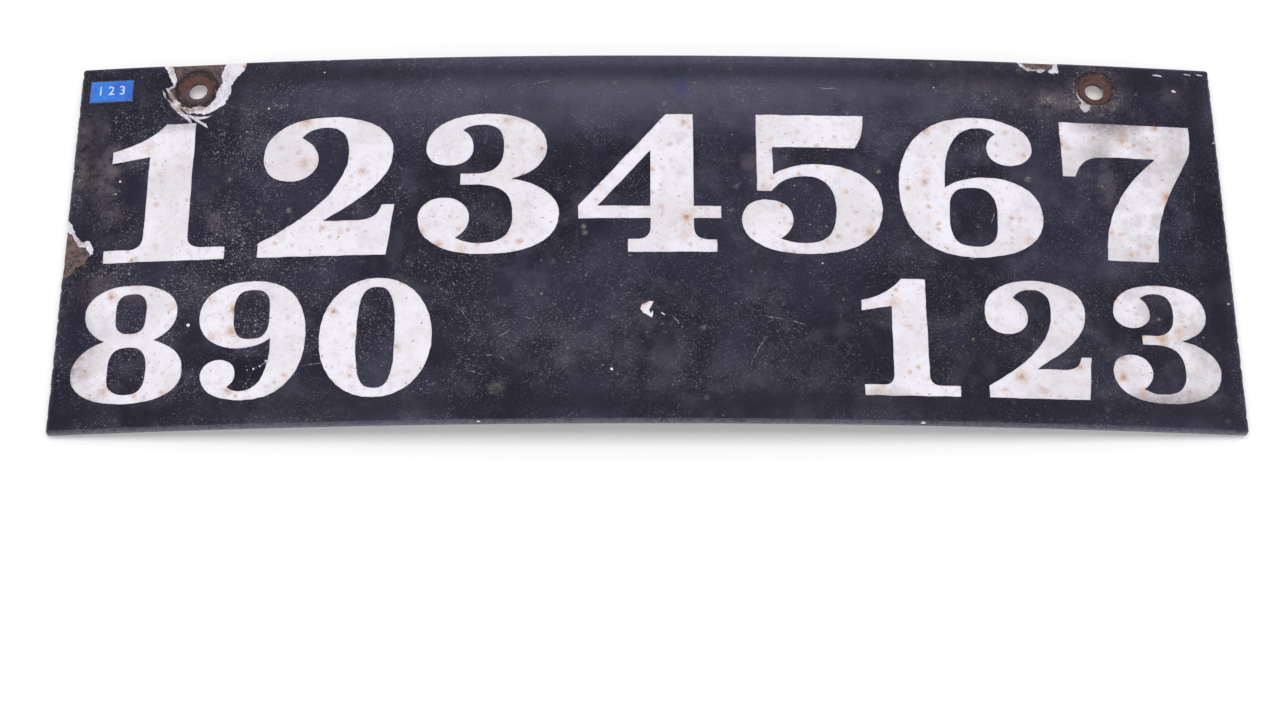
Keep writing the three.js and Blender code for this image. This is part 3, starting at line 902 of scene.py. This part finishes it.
def rust():
    """Flaking rust: dark scale with grey-brown, brown and orange patches."""
    wear = bpy.context.scene.sign_wear
    material, tree, shader, at = start_material("rusted_steel")
    colour, pits = rust_colour(tree, at, wear)
    height = noise_node(tree, at, 1600.0, detail=5.0, roughness=0.7)
    height = math_node(tree, "SUBTRACT", height, multiply(tree, pits, 0.8))
    roughness = ramp(tree, cloud(tree, at, 1.5, 0.3, 0.7), 0, 1, 0.62, 0.92)
    join(tree, shader, colour, roughness, height, 0.00018)
    return material


def rust_colour(tree, at, wear):
    """The colour of rust, and a mask of its pits."""
    shades = {"Dark": wear.rust_dark, "Brown": wear.rust_brown, "Orange": wear.rust_orange,
              "Pale": wear.rust_pale}
    node = put(tree, "Group", {"Vector": at, **shades}, node_tree=rust_group())
    return node.outputs["Colour"], node.outputs["Pits"]


def dish_rust():
    """Rust round the bores: dark in the dish's fold, red-brown down its side, grey on the left dish's lower
    slope, partly painted light and partly where a screw rubbed.
    """
    wear = bpy.context.scene.sign_wear
    material, tree, shader, at = start_material("dish_rust")
    colour, pits = rust_colour(tree, at, wear)
    middles = [(x / MM, z / MM) for x, z in HOLES.values()]
    fold = strongest(tree, *(stain(tree, at, x, z, 9.6, 9.6, ragged=0.25, core=0.8) for x, z in middles))
    colour = lay(tree, colour, (0.012, 0.008, 0.009, 1), fold, 0.94)
    side = strongest(tree, *(
        stain(tree, at, x, z + 0.5, 7.3, 7.3, ragged=0.5, core=0.76) for x, z in middles))
    side = multiply(tree, side, cloud(tree, at, 1.4, 0.2, 0.55, grain=0.7, shift=0.7))
    colour = lay(tree, colour, wear.rust_red, side, 0.9)
    left_x, left_z = middles[0]
    # Grey on the lower slope of the left dish. It is partly painted light, paler as a slope facing up into the
    # light, and partly where a screw rubbed, so the rust there is a little metallic and smoother.
    rubbed = stain(tree, at, left_x, left_z - 2.6, 6.2, 4.8, ragged=0.5, core=0.6)
    rubbed = multiply(tree, rubbed, cloud(tree, at, 1.6, 0.26, 0.5, shift=0.3))
    colour = lay(tree, colour, (0.085, 0.074, 0.094, 1), rubbed, 0.8)
    splits = multiply(tree, hairlines(tree, at, 5, 0.02, 1.2, 0.48, shift=0.5), fold)
    colour = lay(tree, colour, (0.006, 0.004, 0.005, 1), splits, 0.9)
    tree.links.new(multiply(tree, rubbed, 0.4), shader.inputs["Metallic"])
    height = noise_node(tree, at, 1500.0, detail=5.0, roughness=0.7)
    height = math_node(tree, "SUBTRACT", height, math_node(tree, "ADD", pits, splits))
    join(tree, shader, colour, blend_value(tree, rubbed, 0.85, 0.55), height, 0.00016)
    return material


def ground_enamel():
    """The dark dipped coat on the back: uneven, with runs, pale lime bloom, rust bleed and rubbed marks."""
    wear = bpy.context.scene.sign_wear
    material, tree, shader, at = start_material("ground_enamel")
    colour = lay(tree, wear.ground, wear.ground_pale, cloud(tree, at, 45, 0.35, 0.68))
    drawn = vector_node(tree, "MULTIPLY", at, (1.0, 1.0, 0.18))
    runs = multiply(tree, cloud(tree, drawn, 6, 0.5, 0.72, grain=0.6), 0.4)
    colour = lay(tree, colour, (0.075, 0.08, 0.1, 1), runs)
    bloom = multiply(tree, cloud(tree, at, 18, 0.55, 0.8, grain=0.7, shift=0.6), 0.42)
    colour = lay(tree, colour, wear.limescale, bloom)
    fine = multiply(tree, speckle(tree, at, 1.6, 0.4, 0.6), 0.4)
    colour = lay(tree, colour, wear.dust, fine)
    below = [(x, z - 0.6 * r, 1.9 * r, 2.6 * r, 0.75) for x, z, r in BACK_LOSSES]
    bleed = stains(tree, at, below, ragged=1.2)
    spots = multiply(tree, speckle(tree, at, 13, 0.24, 0.9, shift=1.3), 0.7)
    rusty = strongest(tree, multiply(tree, bleed, cloud(tree, at, 4, 0.36, 0.62, grain=0.7)), spots)
    colour = lay(tree, colour, wear.run_off, rusty)
    border = use(tree, border_group(), {"Vector": at, "Reach": 5 * MM})
    edge_rust = multiply(tree, border, cloud(tree, at, 5, 0.42, 0.6, shift=0.2), 0.8)
    colour = lay(tree, colour, wear.rust_brown, edge_rust)
    lines = multiply(tree, hairlines(tree, at, 40, 0.003, 0.25, 0.52), 0.4)
    colour = lay(tree, colour, wear.scratch, lines)
    dull = strongest(tree, rusty, edge_rust, bloom, fine)
    roughness = blend_value(tree, dull, 0.34, 0.78)
    peel = noise_node(tree, at, 300.0, detail=3.0)
    height = math_node(tree, "ADD", peel, multiply(tree, runs, 1.6))
    height = math_node(tree, "SUBTRACT", height, multiply(tree, lines, 1.5))
    join(tree, shader, colour, roughness, height, 0.00008)
    return material


def tape_vinyl():
    """Glossy blue label tape with fine scuffs and dust."""
    wear = bpy.context.scene.sign_wear
    material, tree, shader, at = start_material("tape_vinyl")
    colour = lay(tree, wear.tape, wear.tape_faded, cloud(tree, at, 8, 0.35, 0.7))
    scuffs = strongest(tree, multiply(tree, hairlines(tree, at, 6, 0.01, 0.8, 0.5), 0.5),
                       multiply(tree, speckle(tree, at, 0.9, 0.3, 0.6), 0.4))
    colour = lay(tree, colour, (0.45, 0.6, 0.85, 1), scuffs)
    grime = multiply(tree, cloud(tree, at, 2.5, 0.52, 0.72, shift=0.4), 0.4)
    colour = lay(tree, colour, (0.02, 0.05, 0.14, 1), grime)
    height = noise_node(tree, at, 500.0, detail=2.0)
    join(tree, shader, colour, blend_value(tree, scuffs, 0.3, 0.55), height, 0.00004)
    return material


def stretched_vinyl():
    """The tape's vinyl whitened where the figures were pressed up through it."""
    wear = bpy.context.scene.sign_wear
    material, tree, shader, at = start_material("stretched_vinyl")
    colour = lay(tree, wear.tape_white, (0.5, 0.62, 0.82, 1), cloud(tree, at, 1.1, 0.36, 0.66))
    grime = multiply(tree, speckle(tree, at, 0.6, 0.4, 0.7), 0.5)
    colour = lay(tree, colour, (0.25, 0.28, 0.36, 1), grime)
    height = noise_node(tree, at, 2500.0, detail=3.0)
    join(tree, shader, colour, ramp(tree, grime, 0, 1, 0.5, 0.8), height, 0.00003)
    return material


def old_adhesive():
    """Glue squeezed out round the tape, brown with the dirt it has caught."""
    material, tree, shader, at = start_material("old_adhesive")
    colour = lay(tree, (0.05, 0.032, 0.028, 1), (0.16, 0.1, 0.075, 1), cloud(tree, at, 1.4, 0.36, 0.66))
    colour = lay(tree, colour, (0.02, 0.016, 0.018, 1), speckle(tree, at, 0.5, 0.5, 0.6))
    height = noise_node(tree, at, 2200.0, detail=3.0)
    join(tree, shader, colour, ramp(tree, height, 0.3, 0.7, 0.6, 0.9), height, 0.00008)
    return material


# ---------------------------------------------------------------- settings


def colour_property(name, description, default):
    """A colour setting."""
    return FloatVectorProperty(name=name, description=description, default=default, subtype="COLOR", size=4,
                               min=0, max=1)


def length_property(name, description, default):
    """A setting in metres."""
    return FloatProperty(name=name, description=description, default=default, unit="LENGTH")


class SignWear(bpy.types.PropertyGroup):
    """How the plate has aged."""

    edge_roll: length_property("Edge roll", "Radius of the rolled front edge", 0.9 * MM)
    end_bite: length_property("End bite", "How deep the two ends are nibbled", 0.55 * MM)
    stencil_waver: length_property("Stencil waver", "How far the figures' edges wander", 0.22 * MM)
    scale_height: length_property("Rust scale", "How far rust scale swells above the steel", 0.16 * MM)
    black: colour_property("Black", "Black enamel", (0.004, 0.003, 0.015, 1))
    black_faded: colour_property("Faded black", "Black enamel where it is weathered",
                                 (0.02, 0.018, 0.04, 1))
    white: colour_property("White", "White enamel", (0.87, 0.845, 0.93, 1))
    white_aged: colour_property("Aged white", "White enamel where it has yellowed", (0.77, 0.725, 0.78, 1))
    ground: colour_property("Ground coat", "Dark coat on the back", (0.02, 0.022, 0.03, 1))
    ground_pale: colour_property("Pale ground coat", "Thin places in the coat on the back",
                                 (0.05, 0.052, 0.065, 1))
    dust: colour_property("Dust", "Dust on the black enamel", (0.36, 0.35, 0.4, 1))
    # The bloom colour also paints the sheen over the plate's upper part.
    bloom: colour_property("Bloom", "Milky bloom on the black enamel", (0.075, 0.071, 0.11, 1))
    rubbed_edge: colour_property("Rubbed edge", "Black enamel rubbed at the plate's edge",
                                 (0.12, 0.112, 0.16, 1))
    flecks: colour_property("Flecks", "Cream and orange flecks of burst enamel", (0.46, 0.36, 0.27, 1))
    fracture: colour_property("Fracture", "Broken white enamel in shadow", (0.4, 0.39, 0.52, 1))
    rust_red: colour_property("Red rust", "Rust down the side of a dish", (0.125, 0.056, 0.048, 1))
    limescale: colour_property("Limescale", "Dried water spots", (0.34, 0.31, 0.27, 1))
    run_off: colour_property("Run-off", "Rust carried by water", (0.14, 0.112, 0.13, 1))
    scratch: colour_property("Scratch", "Scratched enamel", (0.4, 0.38, 0.42, 1))
    grime: colour_property("Grime", "Grey film on the white enamel", (0.42, 0.38, 0.4, 1))
    mottle: colour_property("Mottle", "Tan mottling of the white enamel", (0.6, 0.47, 0.42, 1))
    soot: colour_property("Soot", "Dark dirt on the white enamel", (0.2, 0.158, 0.15, 1))
    rust_halo: colour_property("Rust halo", "Tan ring round a rust spot", (0.58, 0.36, 0.25, 1))
    rust_spot: colour_property("Rust spot", "Middle of a rust spot", (0.4, 0.2, 0.11, 1))
    rust_dark: colour_property("Dark rust", "Old dark scale", (0.045, 0.031, 0.036, 1))
    rust_brown: colour_property("Brown rust", "Ordinary rust", (0.15, 0.098, 0.1, 1))
    rust_orange: colour_property("Orange rust", "Fresh rust", (0.22, 0.115, 0.065, 1))
    rust_pale: colour_property("Pale rust", "Ashy bloom on rust", (0.32, 0.27, 0.27, 1))
    tape: colour_property("Tape", "Label tape", (0.016, 0.14, 0.62, 1))
    tape_faded: colour_property("Faded tape", "Label tape where the sun has had it", (0.03, 0.2, 0.72, 1))
    tape_white: colour_property("Pressed figures", "Whitened vinyl", (0.78, 0.82, 0.92, 1))


class SignLabel(bpy.types.PropertyGroup):
    """The label tape's figures."""

    figures: StringProperty(name="Figures", description="Counting figures pressed into the tape",
                            default="123")
    pitch: length_property("Pitch", "From one figure to the next", 4.2 * MM)
    height: length_property("Figure height", "Height of a pressed figure", 3.9 * MM)
    relief: length_property("Relief", "How far the figures stand up", 0.32 * MM)


class SignStudio(bpy.types.PropertyGroup):
    """The camera and the studio."""

    lens: FloatProperty(name="Lens", description="Focal length in millimetres", default=71.7)
    distance: length_property("Distance", "Along the view from the plate", 0.9466)
    pitch: FloatProperty(name="Pitch", description="How far below the plate's face the camera is",
                         default=math.radians(25.5), unit="ROTATION")
    turn: FloatProperty(name="Turn", description="How far the plate is turned under the camera",
                        default=math.radians(0.44), unit="ROTATION")
    tilt: FloatProperty(name="Tilt", description="How far the plate is tilted in the view",
                        default=math.radians(0.19), unit="ROTATION")
    off_axis: FloatVectorProperty(name="Off axis",
                                  description="The plate's middle in the camera's own axes",
                                  size=2, default=(2.73 * MM, 40.5 * MM), unit="LENGTH")
    key_power: FloatProperty(name="Key light", description="Power of the large soft light, in watts",
                             default=19.0)
    world: FloatProperty(name="Surround", description="Strength of the even white surround", default=0.6)
    floor_drop: length_property("Floor", "From the plate down to the floor", 1.2)
    wall_gap: length_property("Wall gap", "Clearance behind the plate", 2.2 * MM)


# ---------------------------------------------------------------- the pieces


def prepared(node, wear, stencilled=False):
    """A CAD coat or sheet ready to be chipped."""
    bm = read_mesh(node)
    if stencilled:
        cut_rims(bm)
        waver(bm, wear)
    bmesh.ops.triangulate(bm, faces=bm.faces)
    return bm


def chip_cutter(layer, near, far, grow=0.0):
    """A cutter for one coat's share of every chip, its outlines grown by some millimetres."""
    cutter = bmesh.new()
    for seed, chip in enumerate(CHIPS.values()):
        outline = grown(chip[layer], grow) if grow else chip[layer]
        prism(cutter, outline, near, far, CHIP_JAGS, seed + 20)
    return cutter


class SIGN_OT_black_coat(bpy.types.Operator):
    """Makes the black coat and the islands inside its figures, chipped and with wavering edges"""

    bl_idname = "sign.black_coat"
    bl_label = "Black Coat"

    def execute(self, context):
        wear = context.scene.sign_wear
        finish = black_enamel()
        cutter = chip_cutter("black", IN_FRONT, PAST_DISH)
        for seed, outline in enumerate(BLACK_LOSSES):
            prism(cutter, outline, IN_FRONT, PAST_FRONT_COATS, 0.16 * MM, seed + 60)
        for seed, (x, z, radius) in enumerate(SPECKS):
            speck = round_outline(x, z, radius, seed)
            prism(cutter, speck, IN_FRONT, PAST_FRONT_COATS, 0.12 * MM, seed + 90)
        coat = prepared("black_coat", wear, stencilled=True)
        cut_border(coat, wear)
        coat = carve(coat, cutter, crossed=True)
        wear_border(coat, wear)
        make_object("black_enamel", coat, ["black_coat"]).data.materials.append(finish)
        for node in [n for n in frame["nodes"] if n.startswith("black_counter")]:
            island = prepared(node, wear, stencilled=True)
            make_object("enamel_" + node, island, [node]).data.materials.append(finish)
        return {"FINISHED"}


class SIGN_OT_white_coat(bpy.types.Operator):
    """Makes the white coat, which the figures show and which rims the deep chips"""

    bl_idname = "sign.white_coat"
    bl_label = "White Coat"

    def execute(self, context):
        wear = context.scene.sign_wear
        coat = prepared("white_coat", wear)
        cut_border(coat, wear)
        coat = carve(coat, chip_cutter("bare", IN_FRONT, PAST_DISH, grow=0.3))
        wear_border(coat, wear)
        make_object("white_enamel", coat,
                    ["white_coat"]).data.materials.append(white_enamel())
        return {"FINISHED"}


class SIGN_OT_ground_coat(bpy.types.Operator):
    """Makes the dark ground coat, bare steel showing through its chips in front and behind"""

    bl_idname = "sign.ground_coat"
    bl_label = "Ground Coat"

    def execute(self, context):
        wear = context.scene.sign_wear
        coat = prepared("ground_coat", wear)
        cut_border(coat, wear)
        coat = carve(coat, chip_cutter("bare", IN_FRONT, MID_STEEL))
        cutter = bmesh.new()
        for seed, (x, z, radius) in enumerate(BACK_LOSSES):
            loss = round_outline(x, z, radius, seed + 30)
            prism(cutter, loss, MID_STEEL, BEHIND, 0.4 * MM, seed + 150)
        coat = carve(coat, cutter)
        wear_border(coat, wear)
        make_object("ground_enamel", coat,
                    ["ground_coat"]).data.materials.append(ground_enamel())
        return {"FINISHED"}


class SIGN_OT_steel_sheet(bpy.types.Operator):
    """Makes the steel sheet, rusted wherever it shows"""

    bl_idname = "sign.steel_sheet"
    bl_label = "Steel Sheet"

    def execute(self, context):
        wear = context.scene.sign_wear
        sheet = prepared("steel_sheet", wear)
        cut_border(sheet, wear)
        wear_border(sheet, wear)
        make_object("rusted_sheet", sheet, ["steel_sheet"]).data.materials.append(rust())
        return {"FINISHED"}


def scale_depth(x, z, outline, wear, seed):
    """The depth of the rust scale's surface, which dives into the steel outside the chip's outline."""
    out = signed_distance(x, z, outline) * MM
    buried = min(max((out + 0.3 * MM) / (0.8 * MM), 0), 1)
    lumps = 0.55 * ripple(x, z, 1.6 * MM, seed) + 0.45 * ripple(x, z, 0.6 * MM, seed + 1)
    swell = wear.scale_height * (0.85 + 0.9 * lumps)
    return STEEL_FRONT + dish(x, z) - swell * (1 - buried) + 0.28 * MM * buried


def lay_scale(bm, outline, wear, seed):
    """Bends a flat crust, whose thickness is along +Y, on to the steel inside a chip."""
    bmesh.ops.solidify(bm, geom=bm.faces[:], thickness=-0.4 * MM)
    bmesh.ops.recalc_face_normals(bm, faces=bm.faces)
    for v in bm.verts:
        x, z = v.co.x, v.co.z
        v.co = roll(x, z, scale_depth(x, z, outline, wear, seed) + v.co.y)


class SIGN_OT_rust_scale(bpy.types.Operator):
    """Grows lumpy rust scale over the dishes and inside the edge chips"""

    bl_idname = "sign.rust_scale"
    bl_label = "Rust Scale"

    ring_step: length_property("Ring step", "From ring to ring round a hole", 0.36 * MM)
    turn_steps: IntProperty(name="Turn steps", description="Steps round a hole", default=160)

    def execute(self, context):
        wear = context.scene.sign_wear
        round_holes, flat = dish_rust(), rust()
        for side, reach in (("left", 19 * MM), ("right", 10 * MM)):
            self.collar(side, reach, wear).data.materials.append(round_holes)
        for name in ("top_edge", "left_edge"):
            self.crust(name, wear).data.materials.append(flat)
        return {"FINISHED"}

    def collar(self, side, reach, wear):
        """Scale all round one fixing hole, from its bore outwards."""
        bm = bmesh.new()
        rings = int((reach - BORE) / self.ring_step)
        line = [bm.verts.new((BORE + 0.02 * MM + self.ring_step * k, 0, 0)) for k in range(rings)]
        edges = [bm.edges.new(pair) for pair in zip(line, line[1:])]
        bmesh.ops.spin(bm, geom=line + edges, cent=(0, 0, 0), axis=(0, 1, 0), angle=2 * math.pi,
                       steps=self.turn_steps, use_merge=True)
        x, z = HOLES[side]
        bmesh.ops.translate(bm, verts=bm.verts, vec=(x, 0, z))
        outside = [f for f in bm.faces if inset_of(f.calc_center_median().x,
                                                   f.calc_center_median().z) < 0.7 * MM]
        bmesh.ops.delete(bm, geom=outside, context="FACES")
        lay_scale(bm, CHIPS[side + "_hole"]["bare"], wear, 11 if side == "left" else 17)
        return make_object("rust_scale_%s_hole" % side, bm)

    def crust(self, name, wear):
        """Scale inside a chip at the plate's edge."""
        outline = CHIPS[name]["bare"]
        low = Vector((min(x for x, _ in outline), min(z for _, z in outline))) * MM
        high = Vector((max(x for x, _ in outline), max(z for _, z in outline))) * MM
        low = Vector((max(low.x, -HALF_WIDTH + 0.7 * MM), low.y))
        high = Vector((high.x, min(high.y, HALF_HEIGHT - 0.7 * MM)))
        size, middle = high - low, (low + high) / 2
        bm = bmesh.new()
        steps = [int(side / (0.34 * MM)) for side in size]
        lie_flat = Matrix.Translation((middle.x, 0, middle.y)) @ Matrix.Rotation(math.pi / 2, 4, "X")
        bmesh.ops.create_grid(bm, x_segments=steps[0], y_segments=steps[1], size=0.5,
                              matrix=lie_flat @ Matrix.Diagonal((size.x, size.y, 1, 1)))
        lay_scale(bm, outline, wear, 23 if name == "top_edge" else 29)
        return make_object("rust_scale_" + name, bm)


class SIGN_OT_label_tape(bpy.types.Operator):
    """Makes the strip of embossed label tape, its figures and the old glue round it"""

    bl_idname = "sign.label_tape"
    bl_label = "Label Tape"

    def execute(self, context):
        label = context.scene.sign_label
        low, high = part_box("label_tape")
        self.tape().data.materials.append(tape_vinyl())
        self.glue(low, high).data.materials.append(old_adhesive())
        self.figures(label, (low + high) / 2).data.materials.append(stretched_vinyl())
        return {"FINISHED"}

    def tape(self):
        bm = read_mesh("label_tape")
        edges = [e for e in bm.edges if e.calc_face_angle(0) > math.radians(45)]
        bmesh.ops.bevel(bm, geom=edges, offset=0.07 * MM, segments=3, profile=0.5, affect="EDGES",
                        material=-1)
        return make_object("label_tape_strip", bm, ["label_tape"])

    def glue(self, low, high):
        """A thin film a little wider than the tape, its edge uneven."""
        bm = bmesh.new()
        middle, size = (low + high) / 2, (high - low) + Vector((0.7, 0, 0.7)) * MM
        lie_flat = Matrix.Translation((middle.x, 0, middle.z)) @ Matrix.Rotation(math.pi / 2, 4, "X")
        bmesh.ops.create_grid(bm, x_segments=40, y_segments=24, size=0.5,
                              matrix=lie_flat @ Matrix.Diagonal((size.x, size.z, 1, 1)))
        bmesh.ops.solidify(bm, geom=bm.faces[:], thickness=-0.04 * MM)
        bmesh.ops.recalc_face_normals(bm, faces=bm.faces)
        for v in bm.verts:
            x, z = wander(v.co.x, v.co.z, 0.12 * MM, 71)
            v.co = roll(x, z, v.co.y - 0.07 * MM)
        return make_object("glue_film", bm, ["tape_adhesive"])

    def figures(self, label, middle):
        """Figures pressed up through the tape, each with soft shoulders."""
        face = min(unroll(v.co)[2] for v in frame["nodes"]["label_tape"].data.vertices)
        bm = bmesh.new()
        for k, figure in enumerate(label.figures):
            text = bpy.data.curves.new("figure", "FONT")
            text.body, text.size = figure, 1.38 * label.height
            text.align_x = text.align_y = "CENTER"
            text.extrude, text.bevel_depth, text.bevel_resolution = 0.5 * label.relief, 0.055 * MM, 2
            text.offset, text.resolution_u = -0.05 * MM, 6
            holder = bpy.data.objects.new("figure", text)
            mesh = bpy.data.meshes.new_from_object(holder)
            shift = (k - (len(label.figures) - 1) / 2) * label.pitch
            stand = Matrix.Translation((middle.x + shift, 0, middle.z)) @ Matrix.Rotation(math.pi / 2, 4,
                                                                                          "X")
            mesh.transform(stand)
            bm.from_mesh(mesh)
            bpy.data.objects.remove(holder)
            bpy.data.curves.remove(text)
            bpy.data.meshes.remove(mesh)
        bmesh.ops.remove_doubles(bm, verts=bm.verts, dist=1e-6)
        bmesh.ops.recalc_face_normals(bm, faces=bm.faces)
        for v in bm.verts:
            v.co = roll(v.co.x, v.co.z, face + v.co.y)
        return make_object("pressed_figures", bm)


# ---------------------------------------------------------------- the studio


def wall_material():
    """Plain white, seen only from the front, and no hindrance to the lights behind it."""
    material, tree, shader, _ = start_material("studio_wall")
    shader.inputs["Base Color"].default_value = (0.93, 0.93, 0.93, 1)
    shader.inputs["Roughness"].default_value = 1.0
    shader.inputs["Specular IOR Level"].default_value = 0.0
    shader.inputs["Emission Color"].default_value = (1, 1, 1, 1)
    shader.inputs["Emission Strength"].default_value = 0.12
    behind = put(tree, "NewGeometry").outputs["Backfacing"]
    shadow = put(tree, "LightPath").outputs["Is Shadow Ray"]
    clear = put(tree, "BsdfTransparent").outputs[0]
    mix = put(tree, "MixShader", {0: strongest(tree, behind, shadow), 1: shader.outputs[0], 2: clear})
    tree.links.new(mix.outputs[0], tree.nodes["Material Output"].inputs["Surface"])
    return material


def floor_material():
    material, tree, shader, at = start_material("studio_floor")
    tone = ramp(tree, noise_node(tree, at, 2.0), 0.3, 0.7)
    colour = lay(tree, (0.8, 0.8, 0.8, 1), (0.83, 0.83, 0.83, 1), tone)
    tree.links.new(colour, shader.inputs["Base Color"])
    shader.inputs["Roughness"].default_value = 0.9
    return material


class SIGN_OT_studio(bpy.types.Operator):
    """Sets up a plain pale studio, its soft light and the camera"""

    bl_idname = "sign.studio"
    bl_label = "Studio"

    def execute(self, context):
        studio = context.scene.sign_studio
        self.sheet("studio_wall", wall_material(), (0, studio.wall_gap, 0), (math.pi / 2, 0, 0), 6.0)
        self.sheet("studio_floor", floor_material(), (0, 0, -studio.floor_drop), (0, 0, 0), 8.0)
        self.light("key", (0, -2.0, -0.05), 2.0, 1.0, studio.key_power)
        self.light("back_left", (-1.3, 1.2, 0.9), 1.2, 1.2, 1.1 * studio.key_power)
        self.light("back_right", (1.3, 1.2, 0.7), 1.2, 1.2, 0.6 * studio.key_power)
        self.camera(context, studio)
        self.surround(context, studio)
        return {"FINISHED"}

    def sheet(self, name, material, place, turn, size):
        bm = bmesh.new()
        bmesh.ops.create_grid(bm, x_segments=2, y_segments=2, size=size / 2)
        mesh = bpy.data.meshes.new(name)
        bm.to_mesh(mesh)
        bm.free()
        mesh.materials.append(material)
        made = bpy.data.objects.new(name, mesh)
        made.location, made.rotation_euler = place, turn
        bpy.context.scene.collection.objects.link(made)

    def light(self, name, place, width, height, power):
        """A soft rectangular light that faces the plate."""
        data = bpy.data.lights.new(name, "AREA")
        data.shape, data.size, data.size_y, data.energy = "RECTANGLE", width, height, power
        lamp = bpy.data.objects.new(name, data)
        lamp.location = place
        lamp.rotation_euler = (-Vector(place)).to_track_quat("-Z", "Y").to_euler()
        bpy.context.scene.collection.objects.link(lamp)

    def camera(self, context, studio):
        data = bpy.data.cameras.new("camera")
        data.lens, data.sensor_width = studio.lens, 36.0
        data.clip_start, data.clip_end = 0.01, 50
        camera = bpy.data.objects.new("camera", data)
        context.scene.collection.objects.link(camera)
        ends = Vector((0, roll(HALF_WIDTH, 0, 0).y, 0))
        turns = (Matrix.Rotation(studio.tilt, 4, "Z") @ Matrix.Rotation(-studio.pitch, 4, "X")
                 @ Matrix.Rotation(studio.turn, 4, "Y"))
        step_back = Matrix.Translation((-studio.off_axis[0], -studio.off_axis[1], studio.distance))
        facing = Matrix.Rotation(math.pi / 2, 4, "X")
        camera.matrix_world = Matrix.Translation(ends) @ facing @ turns.inverted() @ step_back
        context.scene.camera = camera

    def surround(self, context, studio):
        world = bpy.data.worlds.new("surround")
        world.use_nodes = True
        background = world.node_tree.nodes["Background"]
        background.inputs["Color"].default_value = (1.0, 1.0, 1.0, 1)
        background.inputs["Strength"].default_value = studio.world
        context.scene.world = world
        context.scene.view_settings.view_transform = "Standard"


# ---------------------------------------------------------------- the add-on


class SIGN_PT_panel(bpy.types.Panel):
    """Lists the steps in the order in which they are run"""

    bl_idname = "SIGN_PT_panel"
    bl_label = "Enamelled Sign"
    bl_space_type = "VIEW_3D"
    bl_region_type = "UI"
    bl_category = "Sign"

    def draw(self, context):
        for step in STEPS:
            self.layout.operator("sign." + step)
        for group in ("sign_wear", "sign_label", "sign_studio"):
            settings = getattr(context.scene, group)
            box = self.layout.box()
            for name in settings.__annotations__:
                box.prop(settings, name)


STEPS = ("studio", "steel_sheet", "rust_scale", "ground_coat", "white_coat", "black_coat", "label_tape")
CLASSES = (
    SignWear, SignLabel, SignStudio, SIGN_OT_black_coat, SIGN_OT_white_coat, SIGN_OT_ground_coat,
    SIGN_OT_steel_sheet, SIGN_OT_rust_scale, SIGN_OT_label_tape, SIGN_OT_studio, SIGN_PT_panel,
)


def register():
    for made in CLASSES:
        bpy.utils.register_class(made)
    bpy.types.Scene.sign_wear = PointerProperty(type=SignWear)
    bpy.types.Scene.sign_label = PointerProperty(type=SignLabel)
    bpy.types.Scene.sign_studio = PointerProperty(type=SignStudio)


def unregister():
    del bpy.types.Scene.sign_wear, bpy.types.Scene.sign_label, bpy.types.Scene.sign_studio
    for made in reversed(CLASSES):
        bpy.utils.unregister_class(made)


def main():
    register()
    for step in STEPS:
        getattr(bpy.ops.sign, step)()


if __name__ == "__main__":
    main()
